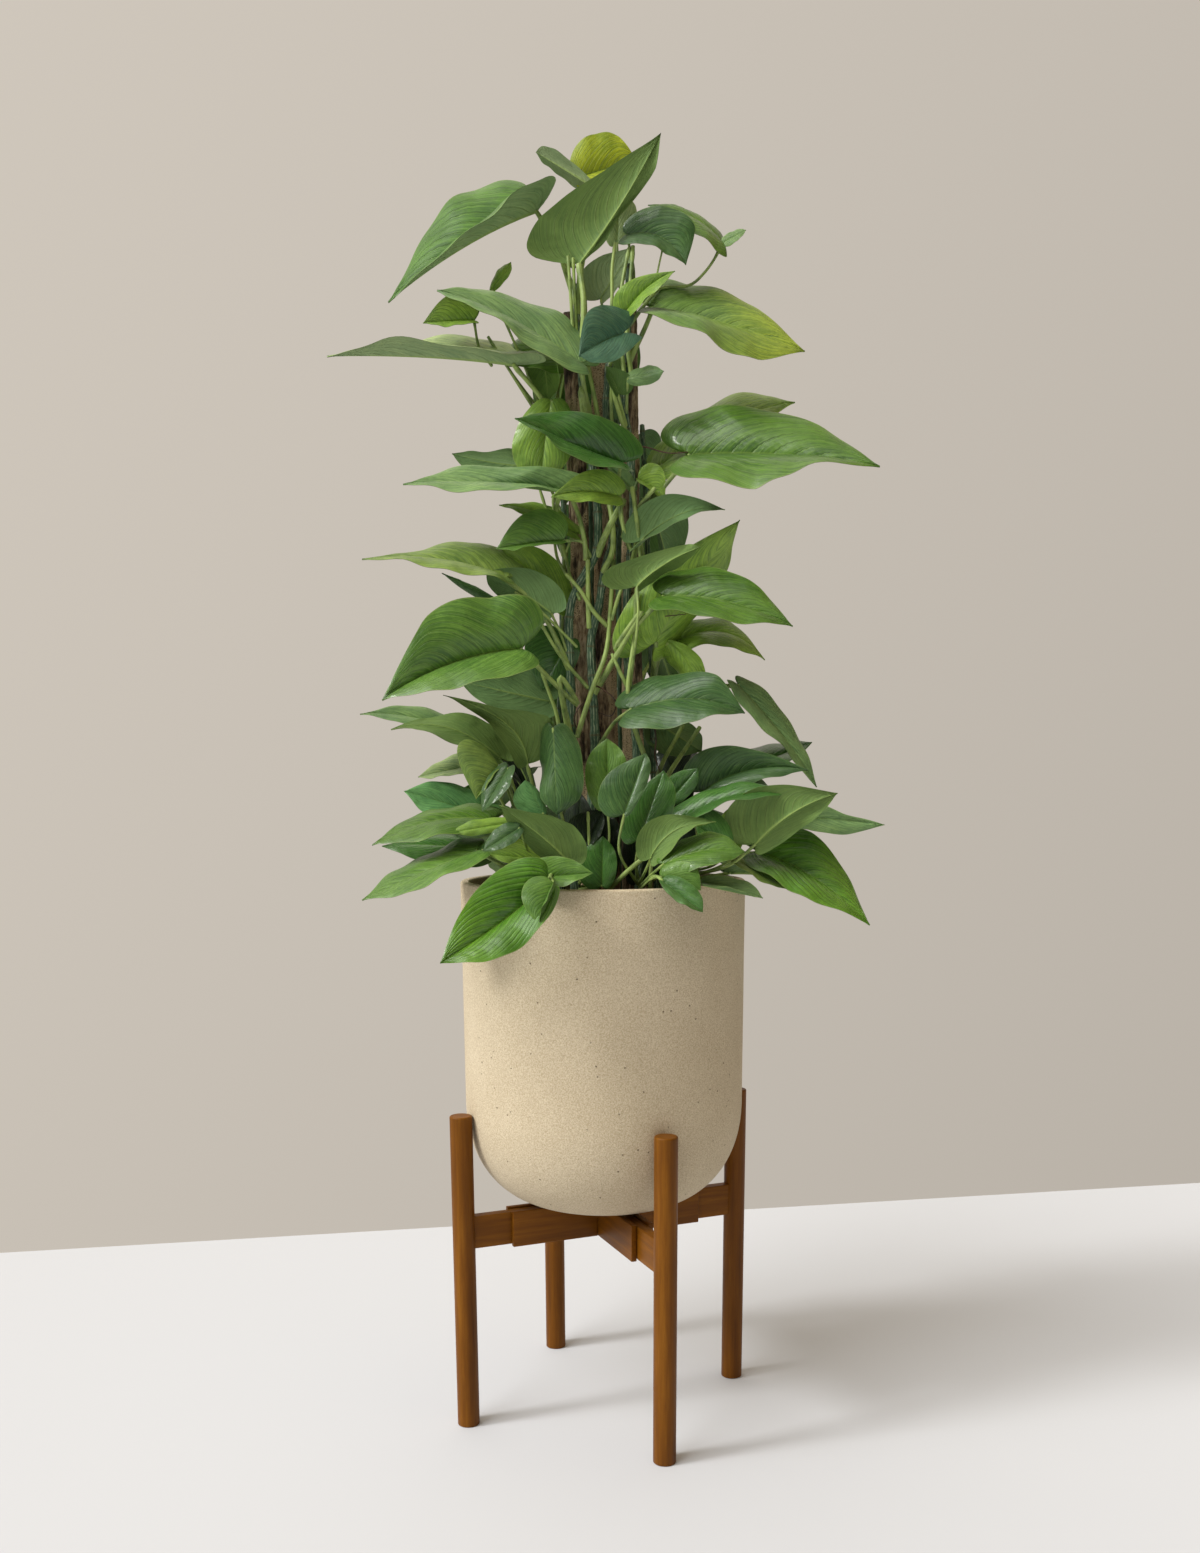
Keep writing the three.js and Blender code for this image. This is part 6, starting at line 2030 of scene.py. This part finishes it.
LOOSE_STALKS: Dict[str, Tuple[LooseStalk, ...]] = {
    "vine_back_middle": (
        LooseStalk(4.5, ((590, 470, 30), (591, 560, 32), (590, 660, 30))),
        LooseStalk(4.2, ((598, 890, 32), (597, 700, 32), (599, 560, 32), (603, 410, 32))),
        LooseStalk(3.2, ((619, 890, 31), (620, 700, 31), (619, 560, 31), (616, 420, 31))),
    ),
    "vine_left": (
        LooseStalk(3.4, ((582, 352, -24), (584, 305, -26), (579, 264, -20))),
        LooseStalk(1.8, ((577, 350, -18), (575, 300, -18), (573, 258, -18))),
        LooseStalk(1.8, ((574, 350, -20), (571, 300, -20), (568, 256, -18))),
        LooseStalk(2.4, ((600, 430, -26), (595, 400, -28), (588, 366, -24))),
        LooseStalk(2.2, ((593, 424, -26), (586, 395, -28), (580, 366, -26))),
        LooseStalk(2.6, ((586, 560, -30), (585, 545, -34), (580, 520, -36), (572, 498, -32))),
        LooseStalk(2.5, ((589, 628, -28), (588, 600, -34), (588, 560, -34))),
        LooseStalk(1.6, ((566, 574, -16), (558, 560, -16), (555, 545, -14), (553, 495, -14))),
        LooseStalk(1.7, (
            (580, 600, -30), (570, 575, -18), (563, 548, -14), (548, 514, -12), (540, 490, -12))),
        LooseStalk(2.3, ((607, 626, -28), (594, 612, -34), (580, 590, -36), (566, 574, -34))),
        LooseStalk(2.0, ((588, 688, -30), (560, 655, -38), (540, 622, -40))),
        LooseStalk(1.5, ((577, 647, -30), (560, 630, -34), (538, 609, -40), (515, 592, -44))),
        LooseStalk(2.1, ((562, 745, -34), (556, 712, -38), (548, 690, -38), (542, 672, -36))),
    ),
    "vine_middle": (
        LooseStalk(2.5, ((625, 430, -26), (614, 395, -28), (608, 368, -24))),
        LooseStalk(1.8, ((612, 424, -24), (611, 396, -28), (613, 370, -28))),
        LooseStalk(3.6, ((597, 556, -26), (606, 534, -34), (616, 514, -34), (624, 500, -28))),
        LooseStalk(3.0, ((603, 572, -26), (612, 553, -34), (613, 530, -34), (609, 500, -26))),
        LooseStalk(2.0, ((631, 549, -34), (624, 530, -38), (620, 496, -38))),
        LooseStalk(2.6, (
            (577, 737, -32), (592, 690, -34), (606, 652, -30), (610, 615, -28), (613, 560, -26))),
        LooseStalk(2.0, ((612, 620, -28), (618, 598, -32), (628, 573, -30))),
    ),
    "vine_right": (
        LooseStalk(2.1, ((628, 688, -32), (620, 672, -36), (612, 654, -34))),
        LooseStalk(2.3, ((641, 558, -34), (636, 515, -40), (632, 487, -38))),
        LooseStalk(2.3, ((622, 538, -30), (638, 508, -36), (655, 488, -40))),
        LooseStalk(2.6, (
            (646, 760, -30), (631, 716, -36), (628, 690, -38), (634, 640, -38), (637, 588, -36))),
        LooseStalk(2.4, ((631, 372, -22), (627, 340, -22), (629, 305, -20), (633, 246, -16))),
        LooseStalk(2.0, ((624, 372, -22), (619, 312, -22), (622, 285, -20), (629, 248, -16))),
        LooseStalk(1.8, ((610, 330, -20), (612, 300, -22), (612, 270, -20), (615, 243, -14))),
        LooseStalk(1.0, ((655, 290, -12), (657, 275, -16), (663, 247, -20))),
    ),
    "vine_far_right": (
        LooseStalk(2.6, ((660, 790, -18), (670, 772, -16), (686, 748, 0), (700, 727, 8))),
        LooseStalk(2.4, ((656, 780, -14), (664, 760, -8), (674, 742, 2), (683, 725, 12))),
        LooseStalk(1.6, ((652, 700, -4), (652, 670, -4), (655, 640, -2))),
    ),
    "shoot_front": (
        LooseStalk(2.6, ((608, 890, -92), (636, 864, -108), (665, 843, -114))),
        LooseStalk(1.8, ((598, 890, -88), (590, 850, -96), (588, 812, -96))),
    ),
    "shoot_front_right": (
        LooseStalk(2.0, ((650, 890, -90), (652, 862, -98), (662, 836, -104))),
    ),
}


BACK_REACH: Tuple[Place, ...] = ((600, 170), (850, 145), (930, 85), (1050, 60), (1110, 30))
BACK_TONES: Tuple[Tone, ...] = (Tone.MID, Tone.DEEP, Tone.BRIGHT, Tone.MID, Tone.SAGE, Tone.DEEP, Tone.MID)
Growth = Tuple[np.ndarray, Blade, Tone]


def side_reach(height: float) -> float:
    """How far to the side a leaf behind the stakes may reach.

    Args:
        height: The height of its root.

    Returns:
        The reach.
    """
    above = first_above([level for level, _ in BACK_REACH], height)
    (low, near), (high, far) = BACK_REACH[above - 1], BACK_REACH[above]
    return near + (far - near) * (height - low) / (high - low)


def tone_behind(index: int) -> Tone:
    """The colour of a leaf behind the stakes."""
    return BACK_TONES[index % len(BACK_TONES)]


def grown(base: np.ndarray, turn: float, length: float, droop: float, lean: float, width: float) -> Blade:
    """A blade that grows outward from a stem.

    Args:
        base: Where its stalk ends.
        turn: The direction outward.
        length: Its length.
        droop: How far it hangs below level.
        lean: How far it tips to one side.
        width: Its half width as a share of its length.

    Returns:
        The blade.
    """
    across = np.array([math.sin(turn), -math.cos(turn), 0.0])
    along = outward(turn) * math.cos(droop) - UP * math.sin(droop)
    above = np.cross(across, along)
    side = across * math.cos(lean) + above * math.sin(lean)
    reach = tuple(side * sign * width * length + above * 0.1 * length for sign in (-1, 1))
    return Blade(base, base + along * length, above * 0.07 * length, reach, reach)


@dataclass(frozen=True)
class BackVine:
    """A climbing stem behind the stakes, with a run of leaves by rule.

    start is the height of its first leaf, and fan how far its leaves reach to the side, as the two ends
    of a range of shares of what the plant's outline allows.
    """

    name: str
    foot: Place
    top: Triple
    radius: float
    leaves: int
    start: float
    fan: Place
    seed: int

    STALK = (38, 36)
    LENGTH = (86, 34)
    LIFT = (22, 20)
    DROOP = (0.5, 0.4)
    LEAN = 0.4
    WIDTH = 0.31
    SIDEWAYS = 0.94

    def stem(self) -> Stem:
        """Its stem."""
        return Stem(self.name, self.foot, self.radius, (self.top,), seen=False)

    def grow(self, stem: Stem) -> List[Growth]:
        """Works out its leaves.

        Args:
            stem: Its stem.

        Returns:
            Each leaf's root on the stem, blade and colour.
        """
        draws = Draws(self.seed)
        spacing = (self.top[2] - 6 - self.start) / (self.leaves - 1)
        found = []
        for index in range(self.leaves):
            root = stem.at(self.start + spacing * index)
            stalk = draws.within(*self.STALK)
            length = draws.within(*self.LENGTH)
            share = (index * GOLDEN + 0.2 * draws.share()) % 1
            across = self.fan[0] + (self.fan[1] - self.fan[0]) * share
            aside = (across * side_reach(root[2]) - root[0]) / (stalk + length)
            turn = math.acos(min(self.SIDEWAYS, max(-self.SIDEWAYS, aside)))
            base = root + outward(turn) * stalk + UP * draws.within(*self.LIFT)
            droop = draws.within(*self.DROOP)
            blade = grown(base, turn, length, droop, draws.swing(self.LEAN), self.WIDTH)
            found.append((root, blade, tone_behind(index + self.seed)))
        return found


@dataclass(frozen=True)
class BackShoot:
    """A low shoot behind the stakes, with leaves that fan out between two turns, in degrees."""

    name: str
    foot: Place
    leaves: int
    turns: Place
    seed: int

    RADIUS = 4.5
    HEIGHT = 46
    STALK = (40, 30)
    LENGTH = (78, 34)
    DROOP = (0.15, 0.5)
    LEAN = 0.4
    WIDTH = 0.32
    INNER = 6
    INNER_STALK = 14
    INNER_LENGTH = (62, 16)
    INNER_DROOP = (-1.15, 0.3)
    INNER_LEAN = 0.5
    INNER_WIDTH = 0.36

    def stem(self) -> Stem:
        """Its stem."""
        top = (*self.foot, Soil.TOP + self.HEIGHT)
        return Stem(self.name, self.foot, self.RADIUS, (top,), seen=False)

    def turn(self, share: float) -> float:
        """The direction at a share of its fan."""
        return math.radians(self.turns[0] + (self.turns[1] - self.turns[0]) * share)

    def grow(self, stem: Stem) -> List[Growth]:
        """Works out its leaves: a fan that spreads, and upright ones inside it in painted shade.

        Args:
            stem: Its stem.

        Returns:
            Each leaf's root on the stem, blade and colour.
        """
        draws = Draws(self.seed)
        found = []
        for index in range(self.leaves):
            root = stem.at(Soil.TOP + 16 + 24 * index / self.leaves)
            turn = self.turn((index * GOLDEN + 0.15 * draws.share()) % 1)
            base = root + outward(turn) * draws.within(*self.STALK) + UP * (12.0 + 17 * index)
            length, droop = draws.within(*self.LENGTH), draws.within(*self.DROOP)
            blade = grown(base, turn, length, droop, draws.swing(self.LEAN), self.WIDTH)
            found.append((root, blade, tone_behind(index + self.seed)))
        for index in range(self.INNER):
            turn = self.turn((index + 0.5) / self.INNER)
            root = stem.at(Soil.TOP + 12 + 5 * index)
            base = root + outward(turn) * self.INNER_STALK + UP * (12.0 + 14 * index)
            length, droop = draws.within(*self.INNER_LENGTH), draws.within(*self.INNER_DROOP)
            blade = grown(base, turn, length, droop, draws.swing(self.INNER_LEAN), self.INNER_WIDTH)
            # the inner leaves are near black: painted shade
            found.append((root, blade, Tone.DARK))
        return found


BEHIND: Tuple[Union[BackVine, BackShoot], ...] = (
    BackVine("vine_back_left", (-26, 32), (-24, 34, 1050), 4.6, 6, 700, (-1, -0.2), 226),
    BackVine("vine_back_middle", (5, 34), (4, 36, 1090), 4.6, 7, 715, (-0.4, 0.4), 87),
    BackVine("vine_back_right", (38, 32), (35, 32, 985), 4.6, 5, 694, (0.1, 0.9), 267),
    BackShoot("shoot_back_left", (-62, 58), 6, (108, 185), 9),
    BackShoot("shoot_back", (2, 74), 4, (62, 118), 18),
    BackShoot("shoot_back_right", (66, 56), 6, (-5, 70), 41),
)


class Plant:
    """The pothos: each leafy stem is one piece, with its stalks, blades and air roots."""

    THINNEST = 1.5
    THICKEST = 2.7
    BLADE_TO_STALK = 50

    def __init__(self) -> None:
        """Makes the plant's two finishes."""
        self.leaf = LeafFinish()
        self.materials = [self.leaf.material(), StalkFinish().material()]
        self.grown = 0

    def add_leaf(self, draft: Draft, blade: Blade, root: np.ndarray, via: Sequence[np.ndarray], tone: Tone,
                 joins_stem: bool = True) -> None:
        """Adds a leaf with its stalk to a piece.

        Args:
            draft: Where it goes.
            blade: The blade.
            root: Where the stalk leaves its stem.
            via: The stalk's course from there.
            tone: The leaf's colour.
            joins_stem: Whether the stalk has a sheath at its foot.
        """
        self.grown += 1
        own = (self.grown * GOLDEN) % 1.0
        blade.add_to(draft, tone.value, own, self.leaf)
        thick = min(self.THICKEST, max(self.THINNEST, blade.length / self.BLADE_TO_STALK))
        shade = 0.8 + 0.32 * own
        tint = (*(channel * shade for channel in STALK_GREEN[:3]), 1.0)
        Stalk(root, via, blade.base, thick, joins_stem).add_to(draft, tint)

    def finish(self, draft: Draft, name: str) -> bpy.types.Object:
        """Makes a leafy stem's piece, with the loose stalks that rise beside it.

        Args:
            draft: What the stem and its leaves have added.
            name: The stem's name.

        Returns:
            The piece.
        """
        for stalk in LOOSE_STALKS.get(name, ()):
            root, *via, end = VIEW.course(stalk.points)
            tint = STEM_GREEN if "back" in name else STALK_GREEN
            Stalk(root, via, end, stalk.thick, False).add_to(draft, tint)
        return stands_in(draft.piece(f"{name}_leafy", self.materials, sharp=55), name)

    def front(self) -> List[bpy.types.Object]:
        """Makes the stems that the photograph shows.

        Returns:
            The pieces.
        """
        pieces = []
        for stem in STEMS:
            draft = Draft()
            stem.add_to(draft)
            for leaf in LEAVES[stem.name]:
                log.debug("%s grows on %s", leaf.name, stem.name)
                root = VIEW.sight(leaf.start) if leaf.start else stem.joint(leaf.joint)
                self.add_leaf(draft, leaf.blade(), root, VIEW.course(leaf.via), leaf.tone, not leaf.start)
            for root in AIR_ROOTS:
                if root.stem == stem.name:
                    root.add_to(draft)
            pieces.append(self.finish(draft, stem.name))
        return pieces

    def behind(self) -> List[bpy.types.Object]:
        """Makes the stems behind the stakes.

        Returns:
            The pieces.
        """
        pieces = []
        for plant in BEHIND:
            draft = Draft()
            stem = plant.stem()
            stem.add_to(draft)
            for root, blade, tone in plant.grow(stem):
                self.add_leaf(draft, blade, root, (), tone)
            pieces.append(self.finish(draft, plant.name))
        return pieces

    def build(self) -> List[bpy.types.Object]:
        """Makes the whole plant."""
        return [*self.front(), *self.behind()]


def main() -> None:
    logging.basicConfig(level=logging.INFO, format="%(name)s: %(message)s")
    Studio().build()
    for assembly in (Stand(), Planter(), Soil(), Stakes(), Plant()):
        for made in assembly.build():
            log.info("%s: %d faces", made.name, len(made.data.polygons))


if __name__ == "__main__":
    main()
